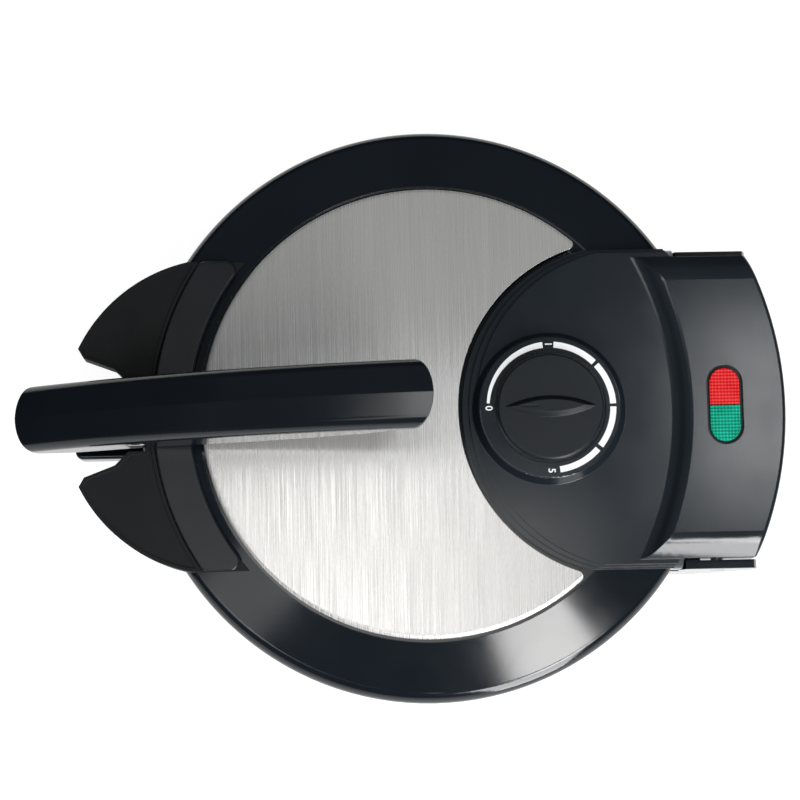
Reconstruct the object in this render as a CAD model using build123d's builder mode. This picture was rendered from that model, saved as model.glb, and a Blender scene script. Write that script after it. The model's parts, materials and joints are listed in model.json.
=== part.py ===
from build123d import *
import os
from math import cos, radians, sin, sqrt

os.makedirs("parts", exist_ok=True)

# Sizes are in millimetres. The handle is at the front (-Y), the hinge at the rear (+Y), Z is up.
# Places along Y are first measured from the middle of the round lid, which stands at disc_y.

# Fits and gaps
face_gap = 0.1          # between two pieces that are held face to face
slip_gap = 0.3          # round a piece that is dropped into a recess
run_gap = 0.05          # radial clearance of a shaft or pin in its bush
press_gap = 0.02        # radial clearance of a piece that is pressed or screwed in
side_gap = 0.4          # between two moving walls, side by side
screw_gap = 0.25        # radial clearance of a screw in a through hole
groove_gap = 1.5        # open black groove round the steel cover plate

# Heights above the table
foot_height = 6.0
base_height = 40.0
seam_gap = 1.5          # between the lips of the two cooking plates
rim_rise = 14.0         # widest line of the lid, above the base's wall
lid_skirt_drop = 10.0   # from the widest line down to the lid's lower edge
lid_skirt_tuck = 1.5
lid_shoulder_rise = 7.0
lid_top_rise = 11.3     # inner edge of the black ring above the widest line

# Round plan sizes, as radii
lid_radius = 150.0
lid_shoulder_width = 5.5    # from the widest line in to the shoulder
ring_width = 31.0           # of the black ring round the steel
base_inset = 9.0            # of the base's wall behind the lid's widest line
base_corner = 15.0

# Walls
shell_wall = 2.5
floor_wall = 2.0
panel_wall = 2.2
sheet = 0.8

# Cooking plates
plate_inset = 15.0          # of the plate's dish inside the base's wall
plate_side = 2.5
plate_thick = 4.0
plate_lip_width = 5.5
plate_lip_thick = 2.0
plate_corner = 2.0
lower_dish_depth = 10.0
upper_dish_depth = 3.5
plate_boss_radius = 5.0
plate_boss_height = 3.0
plate_boss_inset = 22.0     # of the screw bosses inside the dish
plate_post_radius = 6.2
plate_thread_depth = 2.0

# Heating elements and reflectors
element_tube_radius = 3.3
element_inset = 48.0        # of the heating tube inside the dish
element_opening = 40.0      # degrees left open between the two ends
element_terminal_radius = 4.5
element_terminal_length = 12.0
reflector_inset = 30.0
reflector_flange = 14.0
reflector_gap = 4.0
upper_reflector_gap = 0.4
terminal_clearance = 1.0

# Steel cover plate
steel_rim_drop = 1.9        # lower edge of the sheet, below the inner edge of the ring
steel_corner = 4.0
steel_shoulder_rise = 3.6
steel_apex_rise = 5.6
steel_tip_rounding = 3.0
steel_ledge_width = 6.0

# Control panel, with its two steps round the edge
panel_radius = 86.5
panel_setback = 15.0        # of the round front's centre inside the ring's edge
panel_groove = 2.3          # between the steel and the panel
panel_rise = 4.2            # of the panel above the inner edge of the black ring
panel_step_drop = 1.8       # from the panel down to each of its two steps
panel_border = 3.0          # of the two steps together, round the front
panel_border_shift = 4.0
panel_side_border = 2.3
panel_post_radius = 4.2
panel_screw_reach = 5.5
panel_screw_inset = 25.6    # of the outer screws inside the panel's sides
panel_screw_setback = 14.0
panel_inner_screw_x = 25.0

# Dial and thermostat
dial_setback = 41.6         # of the dial's centre in front of the round front's centre
dial_rise = 6.0
dial_radius = 36.6
dial_foot_flare = 3.0
dial_edge_rounding = 0.8
knob_radius = 27.6
knob_thick = 5.0
knob_lift = 0.5
knob_recess_gap = 1.2
knob_recess_depth = 1.0
knob_wall = 2.6
knob_edge_rounding = 1.4
knob_ridge_length = 47.0
knob_ridge_width = 11.0
knob_ridge_height = 3.0
knob_ridge_taper = 38.0
pointer_length = 10.0
pointer_width = 1.0
pointer_depth = 0.4
pointer_end = 7.0
shaft_radius = 3.0
shaft_chamfer = 0.4
shaft_depth = 7.0           # of the shaft inside the thermostat
shaft_engagement = 4.6      # of the shaft inside the knob
thermostat_length = 34.0
thermostat_width = 26.0
thermostat_height = 11.0
thermostat_corner = 2.0
thermostat_neck_radius = 5.0
thermostat_nut_radius = 8.0
thermostat_nut_thick = 2.0

# Rear hump
hump_half_width = 78.6      # between the base's cheeks
hump_shoulder_width = 18.0  # from the panel's straight sides inwards
hump_rise = 4.5             # above the panel
hump_depth = 23.0
hump_shoulder_drop = 14.0
hump_overhang = 34.5        # of the hump's rear arc past the lid's widest line
hump_front_radius = 170.0
hump_cover_of_ring = 24.0   # of the hump's front arc inside the lid's widest line
hump_front_run = 10.5       # of the slope up the hump's front, in plan
hump_front_turn = 8.0       # of that slope's two ends, from level
hump_edge_rounding = 2.0
hump_screw_inset = 32.6
hump_screw_setback = 16.5
wire_gate_half_width = 12.0

# Pilot lights
light_setback = 31.5        # of the lights in front of the hump's rear arc
light_window_length = 41.2
light_window_width = 18.6
light_gap = 1.5
lens_recess = 0.5
lens_thick = 2.4
lens_split = 0.3
lens_edge_rounding = 0.5
holder_wall = 1.4
holder_height = 9.3
lamp_radius = 2.6
lamp_length = 12.0
lamp_spacing = 19.0

# Hinge
hinge_setback = 0.0         # of the hinge axis behind the lid's widest line
hinge_rise = 6.0            # above the base's wall
hinge_pin_radius = 3.5
hinge_pin_head_radius = 5.2
hinge_pin_head_thick = 1.4
hinge_bush_wall = 1.7
lug_radius = 9.0
lug_thick = 9.0
cheek_radius = 20.3
cheek_thick = 4.6
cheek_rise = 10.0           # above the hinge axis
cheek_corner_angle = 38.0
box_setback = 8.0           # flat rear wall of the base, in front of the hinge axis
box_bottom_rise = 8.0       # above the base's underside

# Front guard and handle bracket
guard_radius = 82.3
guard_reach = 38.9          # of the guard's front arc past the lid's widest line
guard_half_width = 80.5
guard_rise = 2.7            # above the inner edge of the black ring
guard_skin = 2.5
guard_lip_width = 1.8
guard_lip_height = 0.6
band_outer_inset = 7.7      # of the band's outer arc inside the lid's widest line
band_inner_step = 4.2       # of the band's inner arc outside the steel's recess
band_thick = 3.6
band_corner = 5.0
band_edge_rounding = 1.0
band_gap = 0.3
notch_root_half_width = 18.0
notch_root_inset = 4.0
notch_mouth_half_width = 31.0
notch_straight = 9.0
notch_flare = 7.0
notch_mouth_depth = 11.0
band_screw_cover = 1.5          # of the band left over the ends of its screws
band_screw_angles = [-118.0, -104.0, -76.0, -62.0]

# Handle: its seam is an arc about a lateral line far below the object
handle_width = 34.0
handle_front_reach = 63.5   # of the handle's front end past the pivot
handle_rear_reach = 150.0
handle_end_depth = 10.0
seam_radius = 500.0
seam_centre_setback = 216.5 # of the seam's axis behind the pivot
seam_centre_drop = 444.0    # of the seam's axis under the pivot
seam_turn = 38.0
crown_side = 3.2
crown_rise = 9.0
crown_crease = 1.6
crown_flat_half_width = 11.0
handle_wall = 2.4
lower_inset = 0.5
# Depth of the lower shell under the seam, at places along Y from the pivot
lower_depths = [(-61.0, 1.5), (-46.0, 13.0), (-3.0, 20.5), (53.0, 25.5), (108.0, 17.5), (143.0, 1.5)]
pivot_setback = 0.0         # of the pivot behind the lid's front
pivot_rise = 18.7           # above the inner edge of the black ring
pivot_pin_radius = 3.0
pivot_pin_chamfer = 0.4
pivot_bush_wall = 1.6
pivot_lug_radius = 7.0
pivot_lug_half_width = 8.0
pivot_lug_turns = (40.0, 35.0)   # where the lug's lower and upper sides meet its round end
slot_half_width = 10.0
slot_front_reach = 20.0
slot_rear_reach = 40.0
handle_screw_steps = [-38.0, 58.0]  # along Y from the pivot
handle_screw_sink = 7.0
handle_post_radius = 4.6
handle_screw_bite = 4.0        # of the handle's screws in the top shell

# Front grip of the base
grip_half_width = 18.0
grip_reach = 36.0           # of the grip's front past the lid's widest line
grip_drop = 6.0             # below the top of the base's wall
grip_depth = 12.0
grip_corner = 4.0
grip_edge_rounding = 1.5
grip_screw_spacing = 20.0

# Feet, access cover, vents, gland and terminal block
foot_radius = 9.0
foot_edge_rounding = 0.6
foot_inset = 29.0           # of the feet inside the base's wall
foot_turns = (-45.0, 57.0)  # of the front and rear feet, from the +X side
foot_screw_sink = 3.0
foot_screw_reach = 8.0
cover_radius = 52.0
cover_overlap = 9.0
cover_thick = 1.2
cover_screw_reach = 7.0
vent_inset = 53.0
vent_count = 12
vent_length = 20.0
vent_width = 4.0
vent_turn = 15.0
slot_count = 5
slot_pitch = 10.0
gland_x = 50.0
gland_rise = 20.0           # above the base's underside
gland_radius = 8.0
gland_length = 6.5
gland_edge_rounding = 1.5
gland_spigot_radius = 6.0
gland_bore_radius = 3.8
gland_grip_length = 5.6     # of the bore that grips the cord; behind it the bore is wider
gland_relief_radius = 4.6
gland_nut_radius = 9.0
gland_nut_thick = 3.0
block_x = 28.0
block_inset = 29.0
block_length = 30.0
block_width = 14.0
block_height = 12.0
block_terminals = 3
block_hole_radius = 2.2
fuse_radius = 3.0
fuse_length = 20.0
fuse_y = 40.0
fuse_chamfer = 0.6

# Screws
screw_radius = 1.8
screw_head_radius = 3.4
screw_head_thick = 1.8
boss_radius = 4.2

# Radii and places worked out from the ones above
lid_shoulder_radius = lid_radius - lid_shoulder_width
ring_inner_radius = lid_radius - ring_width
base_radius = lid_radius - base_inset
plate_radius = base_radius - plate_inset
plate_boss_circle = plate_radius - plate_boss_inset
element_circle = plate_radius - element_inset
reflector_radius = plate_radius - reflector_inset
hinge_y = lid_radius + hinge_setback
box_rear_y = hinge_y - box_setback
box_half_width = hump_half_width + side_gap + cheek_thick
panel_half_width = box_half_width
panel_centre_y = ring_inner_radius - panel_setback
panel_inner_radius = panel_radius - panel_border
panel_inner_centre_y = panel_centre_y + panel_border_shift
panel_inner_half_width = panel_half_width - panel_side_border
dial_y = panel_centre_y - dial_setback
hump_rear_radius = lid_radius + hump_overhang
hump_front_y = lid_radius - hump_cover_of_ring
hump_flat_half_width = panel_half_width - hump_shoulder_width
light_y = hump_rear_radius - light_setback
band_outer_radius = lid_radius - band_outer_inset
band_inner_radius = ring_inner_radius + band_inner_step
guard_centre_y = guard_radius - lid_radius - guard_reach
notch_root_y = notch_root_inset - lid_radius
pivot_y = pivot_setback - lid_radius
handle_front_y = pivot_y - handle_front_reach
handle_rear_y = pivot_y + handle_rear_reach
seam_centre_y = pivot_y + seam_centre_setback
slot_front_y = pivot_y - slot_front_reach
slot_rear_y = pivot_y + slot_rear_reach
handle_screw_ys = [pivot_y + step for step in handle_screw_steps]
grip_front_y = -lid_radius - grip_reach
vent_circle = base_radius - vent_inset
block_y = base_radius - block_inset
panel_screw_x = panel_half_width - panel_screw_inset
panel_screw_y = panel_centre_y - panel_screw_setback
panel_screw_places = [
    (-panel_screw_x, panel_screw_y),
    (panel_screw_x, panel_screw_y),
    (-panel_inner_screw_x, panel_centre_y),
    (panel_inner_screw_x, panel_centre_y),
]
hump_screw_x = hump_half_width - hump_screw_inset
hump_screw_y = hump_rear_radius - hump_screw_setback
hump_screw_places = [(-hump_screw_x, hump_screw_y), (hump_screw_x, hump_screw_y)]

# Heights worked out from the ones above
base_bottom = foot_height
base_top = foot_height + base_height
rim_height = base_top + rim_rise
base_floor_top = base_bottom + shell_wall
lower_lip_top = base_top + plate_lip_thick
lower_surface = lower_lip_top - lower_dish_depth
lower_back = lower_surface - plate_thick
lower_post_top = lower_back - plate_boss_height - sheet - 2 * face_gap
upper_lip_bottom = lower_lip_top + seam_gap
upper_lip_top = upper_lip_bottom + plate_lip_thick
upper_surface = upper_lip_bottom + upper_dish_depth
upper_back = upper_surface + plate_thick
lid_bottom = rim_height - lid_skirt_drop
lid_flange_bottom = upper_lip_top + face_gap
lid_flange_top = lid_flange_bottom + floor_wall
ring_top = rim_height + lid_top_rise
panel_top = ring_top + panel_rise
panel_step_two = panel_top - panel_step_drop
panel_step_one = panel_step_two - panel_step_drop
dial_top = panel_top + dial_rise
hump_top = panel_top + hump_rise
hump_bottom = hump_top - hump_depth
hinge_z = base_top + hinge_rise
cheek_top = hinge_z + cheek_rise
box_bottom = base_bottom + box_bottom_rise
guard_top = ring_top + guard_rise
guard_bottom = rim_height
band_bottom = ring_top + face_gap
pivot_z = ring_top + pivot_rise
seam_centre_z = pivot_z - seam_centre_drop
grip_top = base_top - grip_drop
grip_bottom = grip_top - grip_depth
gland_z = base_bottom + gland_rise
shoulder_top = rim_height + lid_shoulder_rise
upper_pan = upper_back + face_gap + 2 * element_tube_radius + upper_reflector_gap
lid_floor_bottom = upper_pan + sheet + upper_reflector_gap
lid_floor_top = lid_floor_bottom + floor_wall
upper_flange_bottom = upper_back + plate_boss_height + face_gap
steel_bottom = ring_top - steel_rim_drop
steel_ledge = steel_bottom - face_gap
ledge_radius = ring_inner_radius - steel_ledge_width
steel_radius = ring_inner_radius - groove_gap
plate_lip_radius = plate_radius + plate_side + plate_lip_width
opening_radius = plate_radius + plate_side + slip_gap
panel_ceiling = panel_top - panel_wall
hump_ceiling = hump_top - panel_wall
dial_ceiling = dial_top - panel_wall
knob_bottom = dial_top - knob_recess_depth + knob_lift
hump_cover_top = hump_bottom + floor_wall + face_gap
lug_outer_x = hump_half_width - panel_wall - side_gap
lug_inner_x = lug_outer_x - lug_thick
band_top = band_bottom + band_thick

# The origin is under the middle of the overall length, so the disc stands off it along Y
disc_y = -(handle_front_y + hump_rear_radius) / 2
lid_axis = Axis((0, disc_y, 0), (0, 0, 1))
seam_axis = Axis((0, disc_y + seam_centre_y, seam_centre_z), (1, 0, 0))
radial = Plane(origin=(0, disc_y, 0), x_dir=(1, 0, 0), z_dir=(0, -1, 0))


def level(height):
    """Horizontal sketch plane at a height, centred on the disc's axis."""
    return Plane(origin=(0, disc_y, height), x_dir=(1, 0, 0), z_dir=(0, 0, 1))


def side(x):
    """Lengthwise upright plane: first axis +Y from the disc's middle, second axis +Z."""
    return Plane(origin=(x, disc_y, 0), x_dir=(0, 1, 0), z_dir=(1, 0, 0))


def across(y):
    """Crosswise upright plane that faces the front: first axis +X, second axis +Z."""
    return Plane(origin=(0, disc_y + y, 0), x_dir=(1, 0, 0), z_dir=(0, -1, 0))


def polar(circle, count, start):
    """Evenly spaced (x, y) places on a circle about the disc's axis."""
    turns = [radians(start + index * 360 / count) for index in range(count)]
    return [(circle * cos(turn), circle * sin(turn)) for turn in turns]


def seam_height(y):
    """Height of the handle's seam at a place along Y."""
    return seam_centre_z + sqrt(seam_radius**2 - (y - seam_centre_y) ** 2)


def screw_set(places, seat, length, way=1):
    """Pan head screws at (x, y) places: heads on one side of the seat, shanks on the other."""
    with BuildPart() as screws:
        with BuildSketch(level(seat)):
            with Locations(*places):
                Circle(screw_head_radius)
        extrude(amount=way * screw_head_thick)
        with BuildSketch(level(seat)):
            with Locations(*places):
                Circle(screw_radius)
        extrude(amount=-way * length)
    return screws.part


foot_circle = base_radius - foot_inset
right_feet = [polar(foot_circle, 1, turn)[0] for turn in foot_turns]
foot_places = right_feet + [(-x, y) for x, y in right_feet]
plate_screw_places = polar(plate_boss_circle, 4, 0)
cover_screw_places = polar(cover_radius - cover_overlap / 2, 3, 90)
grip_screw_places = [
    (-grip_screw_spacing / 2, (grip_top + grip_bottom) / 2),
    (grip_screw_spacing / 2, (grip_top + grip_bottom) / 2),
]
band_screw_circle = (band_outer_radius + band_inner_radius) / 2
band_screw_places = [polar(band_screw_circle, 1, angle)[0] for angle in band_screw_angles]


# Base

lower_screw_seat = lower_post_top - shell_wall
with BuildPart() as base_shell:
    with BuildSketch(radial):
        with BuildLine():
            floor_radius = base_radius - base_corner
            Line((0, base_bottom), (floor_radius, base_bottom))
            JernArc((floor_radius, base_bottom), (1, 0), base_corner, 90)
            Polyline((base_radius, base_bottom + base_corner), (base_radius, base_top), (0, base_top))
            Line((0, base_top), (0, base_bottom))
        make_face()
    revolve(axis=lid_axis)
    with BuildSketch(level(box_bottom)):
        with Locations((0, box_rear_y / 2)):
            Rectangle(2 * box_half_width, box_rear_y)
    extrude(amount=base_top - box_bottom)
    # Inside of the round bowl, then of the flat rear box
    with BuildSketch(radial):
        with BuildLine():
            wall_radius = base_radius - shell_wall
            ceiling = base_top - shell_wall
            Line((0, base_floor_top), (floor_radius, base_floor_top))
            JernArc((floor_radius, base_floor_top), (1, 0), base_corner - shell_wall, 90)
            Polyline((wall_radius, base_bottom + base_corner), (wall_radius, ceiling), (0, ceiling))
            Line((0, ceiling), (0, base_floor_top))
        make_face()
    revolve(axis=lid_axis, mode=Mode.SUBTRACT)
    with BuildSketch(level(box_bottom + shell_wall)):
        with Locations((0, (box_rear_y - shell_wall) / 2)):
            Rectangle(2 * (box_half_width - shell_wall), box_rear_y - shell_wall)
    extrude(amount=base_top - box_bottom - 2 * shell_wall, mode=Mode.SUBTRACT)
    with BuildSketch(level(base_top)):
        Circle(opening_radius)
    extrude(amount=-2 * shell_wall, mode=Mode.SUBTRACT)
    # Hinge cheeks stand up behind the box, inside the ring's path
    cheek_front_y = box_rear_y - 2 * lug_radius
    cheek_back_y = hinge_y + cheek_radius * cos(radians(cheek_corner_angle))
    cheek_back_z = hinge_z - cheek_radius * sin(radians(cheek_corner_angle))
    for cheek_x in (-box_half_width, box_half_width - cheek_thick):
        with BuildSketch(side(cheek_x)):
            with BuildLine():
                Polyline(
                    (cheek_front_y, box_bottom),
                    (box_rear_y, box_bottom),
                    (cheek_back_y, cheek_back_z),
                    (hinge_y, base_top),
                    (cheek_front_y, base_top),
                    close=True,
                )
            make_face()
            with Locations((hinge_y, hinge_z)):
                Circle(cheek_radius)
            with Locations((hinge_y, cheek_top + cheek_radius)):
                Rectangle(4 * cheek_radius, 2 * cheek_radius, mode=Mode.SUBTRACT)
            with Locations((hinge_y, hinge_z)):
                Circle(hinge_pin_radius + press_gap, mode=Mode.SUBTRACT)
        extrude(amount=cheek_thick)
    # Hollow posts that carry the plate
    with BuildSketch(level(base_bottom)):
        with Locations(*plate_screw_places):
            Circle(plate_post_radius)
    extrude(amount=lower_post_top - base_bottom)
    with BuildSketch(level(base_bottom)):
        with Locations(*plate_screw_places):
            Circle(screw_head_radius + screw_gap)
    extrude(amount=lower_screw_seat - base_bottom, mode=Mode.SUBTRACT)
    with BuildSketch(level(lower_post_top)):
        with Locations(*plate_screw_places):
            Circle(screw_radius + screw_gap)
    extrude(amount=-2 * shell_wall, mode=Mode.SUBTRACT)
    # Bosses for the feet and for the access cover, opened from below
    with BuildSketch(level(base_bottom)):
        with Locations(*foot_places):
            Circle(boss_radius)
    extrude(amount=shell_wall + foot_screw_reach)
    with BuildSketch(level(base_bottom)):
        with Locations(*foot_places):
            Circle(screw_radius + press_gap)
    extrude(amount=foot_screw_reach + slip_gap, mode=Mode.SUBTRACT)
    with BuildSketch(level(base_bottom)):
        with Locations(*cover_screw_places):
            Circle(boss_radius)
    extrude(amount=shell_wall + cover_screw_reach)
    with BuildSketch(level(base_bottom)):
        with Locations(*cover_screw_places):
            Circle(screw_radius + press_gap)
    extrude(amount=cover_screw_reach + cover_thick + slip_gap, mode=Mode.SUBTRACT)
    with BuildSketch(level(base_bottom)):
        Circle(cover_radius - cover_overlap)
        with PolarLocations(vent_circle, vent_count, start_angle=vent_turn):
            SlotOverall(vent_length, vent_width)
    extrude(amount=shell_wall, mode=Mode.SUBTRACT)
    with BuildSketch(level(base_bottom)):
        Circle(cover_radius + slip_gap)
    extrude(amount=cover_thick, mode=Mode.SUBTRACT)
    # Holes for the cord gland at the rear and for the grip's screws at the front
    with BuildSketch(across(box_rear_y)):
        with Locations((gland_x, gland_z)):
            Circle(gland_spigot_radius + slip_gap)
    extrude(amount=2 * shell_wall, both=True, mode=Mode.SUBTRACT)
    with BuildSketch(across(-base_radius)):
        with Locations(*grip_screw_places):
            Circle(screw_radius + screw_gap)
    extrude(amount=2 * shell_wall, both=True, mode=Mode.SUBTRACT)
base_shell.part.label = "base_shell"
export_step(base_shell.part, "parts/base_shell.step")

with BuildPart() as base_access_cover:
    with BuildSketch(level(base_bottom)):
        Circle(cover_radius)
    extrude(amount=cover_thick - face_gap)
    with BuildSketch(level(base_bottom)):
        with Locations(*cover_screw_places):
            Circle(screw_radius + screw_gap)
        with GridLocations(slot_pitch, 0, slot_count, 1):
            SlotOverall(vent_length, vent_width, rotation=90)
    extrude(amount=cover_thick, mode=Mode.SUBTRACT)
base_access_cover.part.label = "base_access_cover"
export_step(base_access_cover.part, "parts/base_access_cover.step")

access_cover_screws = screw_set(cover_screw_places, base_bottom - face_gap, cover_screw_reach, way=-1)
access_cover_screws.label = "access_cover_screws"
export_step(access_cover_screws, "parts/access_cover_screws.step")

with BuildPart() as rubber_feet:
    with BuildSketch(level(0)):
        with Locations(*foot_places):
            Circle(foot_radius)
    extrude(amount=foot_height - face_gap)
    with BuildSketch(level(0)):
        with Locations(*foot_places):
            Circle(screw_head_radius + screw_gap)
    extrude(amount=foot_screw_sink, mode=Mode.SUBTRACT)
    with BuildSketch(level(0)):
        with Locations(*foot_places):
            Circle(screw_radius + screw_gap)
    extrude(amount=foot_height, mode=Mode.SUBTRACT)
    fillet(rubber_feet.edges().group_by(Axis.Z)[0], foot_edge_rounding)
rubber_feet.part.label = "rubber_feet"
export_step(rubber_feet.part, "parts/rubber_feet.step")

foot_shank = foot_height - foot_screw_sink + foot_screw_reach
foot_screws = screw_set(foot_places, foot_screw_sink, foot_shank, way=-1)
foot_screws.label = "foot_screws"
export_step(foot_screws, "parts/foot_screws.step")

with BuildPart() as base_front_grip:
    grip_rear_y = -sqrt((base_radius + face_gap) ** 2 - grip_half_width**2)
    grip_length = grip_rear_y - grip_front_y
    with BuildSketch(level(grip_bottom)):
        with Locations((0, grip_front_y + grip_length / 2)):
            Rectangle(2 * grip_half_width, grip_length)
    extrude(amount=grip_top - grip_bottom)
    front_corners = base_front_grip.edges().filter_by(Axis.Z).group_by(Axis.Y)[0]
    fillet(front_corners, grip_corner)
    fillet(base_front_grip.faces().sort_by(Axis.Z)[-1].edges(), grip_edge_rounding)
    # Rear pad that follows the round wall of the base, and a hollow underside
    with BuildSketch(level(grip_bottom)):
        with Locations((0, grip_rear_y - shell_wall)):
            Rectangle(2 * grip_half_width, -2 * (grip_rear_y + base_radius) + 2 * shell_wall)
    extrude(amount=grip_top - grip_bottom)
    with BuildSketch(level(grip_bottom)):
        Circle(base_radius + face_gap)
    extrude(amount=grip_top - grip_bottom, mode=Mode.SUBTRACT)
    with BuildSketch(level(grip_bottom)):
        hollow_length = grip_length - 4 * shell_wall
        with Locations((0, grip_front_y + shell_wall + hollow_length / 2)):
            RectangleRounded(2 * (grip_half_width - shell_wall), hollow_length, grip_corner - shell_wall)
    extrude(amount=grip_top - grip_bottom - shell_wall, mode=Mode.SUBTRACT)
    with BuildSketch(across(-base_radius)):
        with Locations(*grip_screw_places):
            Circle(screw_radius + press_gap)
    extrude(amount=2 * shell_wall, both=True, mode=Mode.SUBTRACT)
base_front_grip.part.label = "base_front_grip"
export_step(base_front_grip.part, "parts/base_front_grip.step")

grip_seat_x = grip_screw_spacing / 2 + screw_head_radius
grip_seat_y = -sqrt((base_radius - shell_wall) ** 2 - grip_seat_x**2) + face_gap
with BuildPart() as grip_screws:
    with BuildSketch(across(grip_seat_y)):
        with Locations(*grip_screw_places):
            Circle(screw_head_radius)
    extrude(amount=-screw_head_thick)
    with BuildSketch(across(grip_seat_y)):
        with Locations(*grip_screw_places):
            Circle(screw_radius)
    extrude(amount=2.5 * shell_wall)
grip_screws.part.label = "grip_screws"
export_step(grip_screws.part, "parts/grip_screws.step")


def cooking_plate(surface, back, lip_face, lip_back):
    """Dished plate with a flat lip and four screw bosses on its back."""
    way = 1 if back > surface else -1
    side_radius = plate_radius + plate_side
    with BuildPart() as plate:
        with BuildSketch(radial):
            Polygon(
                (0, back),
                (side_radius, back),
                (side_radius, lip_back),
                (plate_lip_radius, lip_back),
                (plate_lip_radius, lip_face),
                (plate_radius, lip_face),
                (plate_radius, surface),
                (0, surface),
                align=None,
            )
        revolve(axis=lid_axis)
        inner_corner = plate.edges().filter_by(GeomType.CIRCLE).filter_by(
            lambda edge: abs(edge.radius - plate_radius) < face_gap
            and abs(edge.arc_center.Z - surface) < face_gap
        )
        fillet(inner_corner, plate_corner)
        with BuildSketch(level(back)):
            with Locations(*plate_screw_places):
                Circle(plate_boss_radius)
        extrude(amount=way * plate_boss_height)
        with BuildSketch(level(back + way * plate_boss_height)):
            with Locations(*plate_screw_places):
                Circle(screw_radius + press_gap)
        extrude(amount=-way * (plate_boss_height + plate_thread_depth + slip_gap), mode=Mode.SUBTRACT)
    return plate.part


def heating_element(back, way, terminal_length, opening_at):
    """Tubular ring against a plate's back, with a straight terminal at each end."""
    centre = back + way * (face_gap + element_tube_radius)
    first_turn = opening_at + element_opening / 2
    with BuildPart() as element:
        with BuildSketch(radial):
            with Locations((element_circle, centre)):
                Circle(element_tube_radius)
        revolve(axis=lid_axis, revolution_arc=360 - element_opening)
        ends = [(element_circle, 0), polar(element_circle, 1, 360 - element_opening)[0]]
        with BuildSketch(level(centre - way * element_tube_radius)):
            with Locations(*ends):
                Circle(element_terminal_radius)
        extrude(amount=way * terminal_length)
    return element.part.rotate(lid_axis, first_turn)


def heat_reflector(pan, flange, ends_at):
    """Shallow sheet pan behind an element, with a flange that is clamped under the plate's bosses."""
    way = 1 if pan > flange else -1
    with BuildPart() as reflector:
        with BuildSketch(radial):
            Polygon(
                (0, pan),
                (reflector_radius - sheet, pan),
                (reflector_radius - sheet, flange),
                (reflector_radius + reflector_flange, flange),
                (reflector_radius + reflector_flange, flange + way * sheet),
                (reflector_radius, flange + way * sheet),
                (reflector_radius, pan + way * sheet),
                (0, pan + way * sheet),
                align=None,
            )
        revolve(axis=lid_axis)
        with BuildSketch(level(flange)):
            with Locations(*plate_screw_places):
                Circle(screw_radius + screw_gap)
        extrude(amount=way * sheet, mode=Mode.SUBTRACT)
        half = element_opening / 2
        with BuildSketch(level(pan)):
            with Locations(*[polar(element_circle, 1, ends_at + turn)[0] for turn in (-half, half)]):
                Circle(element_terminal_radius + terminal_clearance)
        extrude(amount=way * sheet, mode=Mode.SUBTRACT)
    return reflector.part


lower_cooking_plate = cooking_plate(lower_surface, lower_back, lower_lip_top, base_top + face_gap)
lower_cooking_plate.label = "lower_cooking_plate"
export_step(lower_cooking_plate, "parts/lower_cooking_plate.step")

lower_shank = lower_back - lower_screw_seat + plate_thread_depth
lower_plate_screws = screw_set(plate_screw_places, lower_screw_seat, lower_shank, way=-1)
lower_plate_screws.label = "lower_plate_screws"
export_step(lower_plate_screws, "parts/lower_plate_screws.step")

lower_heating_element = heating_element(lower_back, -1, element_terminal_length, 90)
lower_heating_element.label = "lower_heating_element"
export_step(lower_heating_element, "parts/lower_heating_element.step")

lower_flange = lower_post_top + face_gap + sheet
lower_pan = lower_back - face_gap - 2 * element_tube_radius - reflector_gap
lower_heat_reflector = heat_reflector(lower_pan, lower_flange, 90)
lower_heat_reflector.label = "lower_heat_reflector"
export_step(lower_heat_reflector, "parts/lower_heat_reflector.step")

with BuildPart() as terminal_block:
    with BuildSketch(level(base_floor_top + face_gap)):
        with Locations((block_x, block_y)):
            Rectangle(block_length, block_width)
    extrude(amount=block_height)
    block_top = base_floor_top + face_gap + block_height
    with BuildSketch(level(block_top)):
        with Locations((block_x, block_y)):
            with GridLocations(block_length / block_terminals, 0, block_terminals, 1):
                Circle(block_hole_radius)
    extrude(amount=-block_height / 2, mode=Mode.SUBTRACT)
terminal_block.part.label = "terminal_block"
export_step(terminal_block.part, "parts/terminal_block.step")

with BuildPart() as thermal_fuse:
    with BuildSketch(side(-fuse_length / 2)):
        with Locations((fuse_y, lower_back - face_gap - fuse_radius)):
            Circle(fuse_radius)
    extrude(amount=fuse_length)
    chamfer(thermal_fuse.edges().filter_by(GeomType.CIRCLE), fuse_chamfer)
thermal_fuse.part.label = "thermal_fuse"
export_step(thermal_fuse.part, "parts/thermal_fuse.step")

with BuildPart() as cord_gland:
    with BuildSketch(across(box_rear_y + face_gap)):
        with Locations((gland_x, gland_z)):
            Circle(gland_radius)
    extrude(amount=-gland_length)
    fillet(cord_gland.edges().filter_by(GeomType.CIRCLE).sort_by(Axis.Y)[-1], gland_edge_rounding)
    spigot_length = shell_wall + 2 * face_gap + gland_nut_thick
    with BuildSketch(across(box_rear_y + face_gap)):
        with Locations((gland_x, gland_z)):
            Circle(gland_spigot_radius)
    extrude(amount=spigot_length)
    with BuildSketch(across(box_rear_y + face_gap + gland_length)):
        with Locations((gland_x, gland_z)):
            Circle(gland_bore_radius)
    extrude(amount=gland_length + spigot_length, mode=Mode.SUBTRACT)
    with BuildSketch(across(box_rear_y + face_gap + gland_length - gland_grip_length)):
        with Locations((gland_x, gland_z)):
            Circle(gland_relief_radius)
    extrude(amount=gland_length + spigot_length, mode=Mode.SUBTRACT)
cord_gland.part.label = "cord_gland"
export_step(cord_gland.part, "parts/cord_gland.step")

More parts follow.
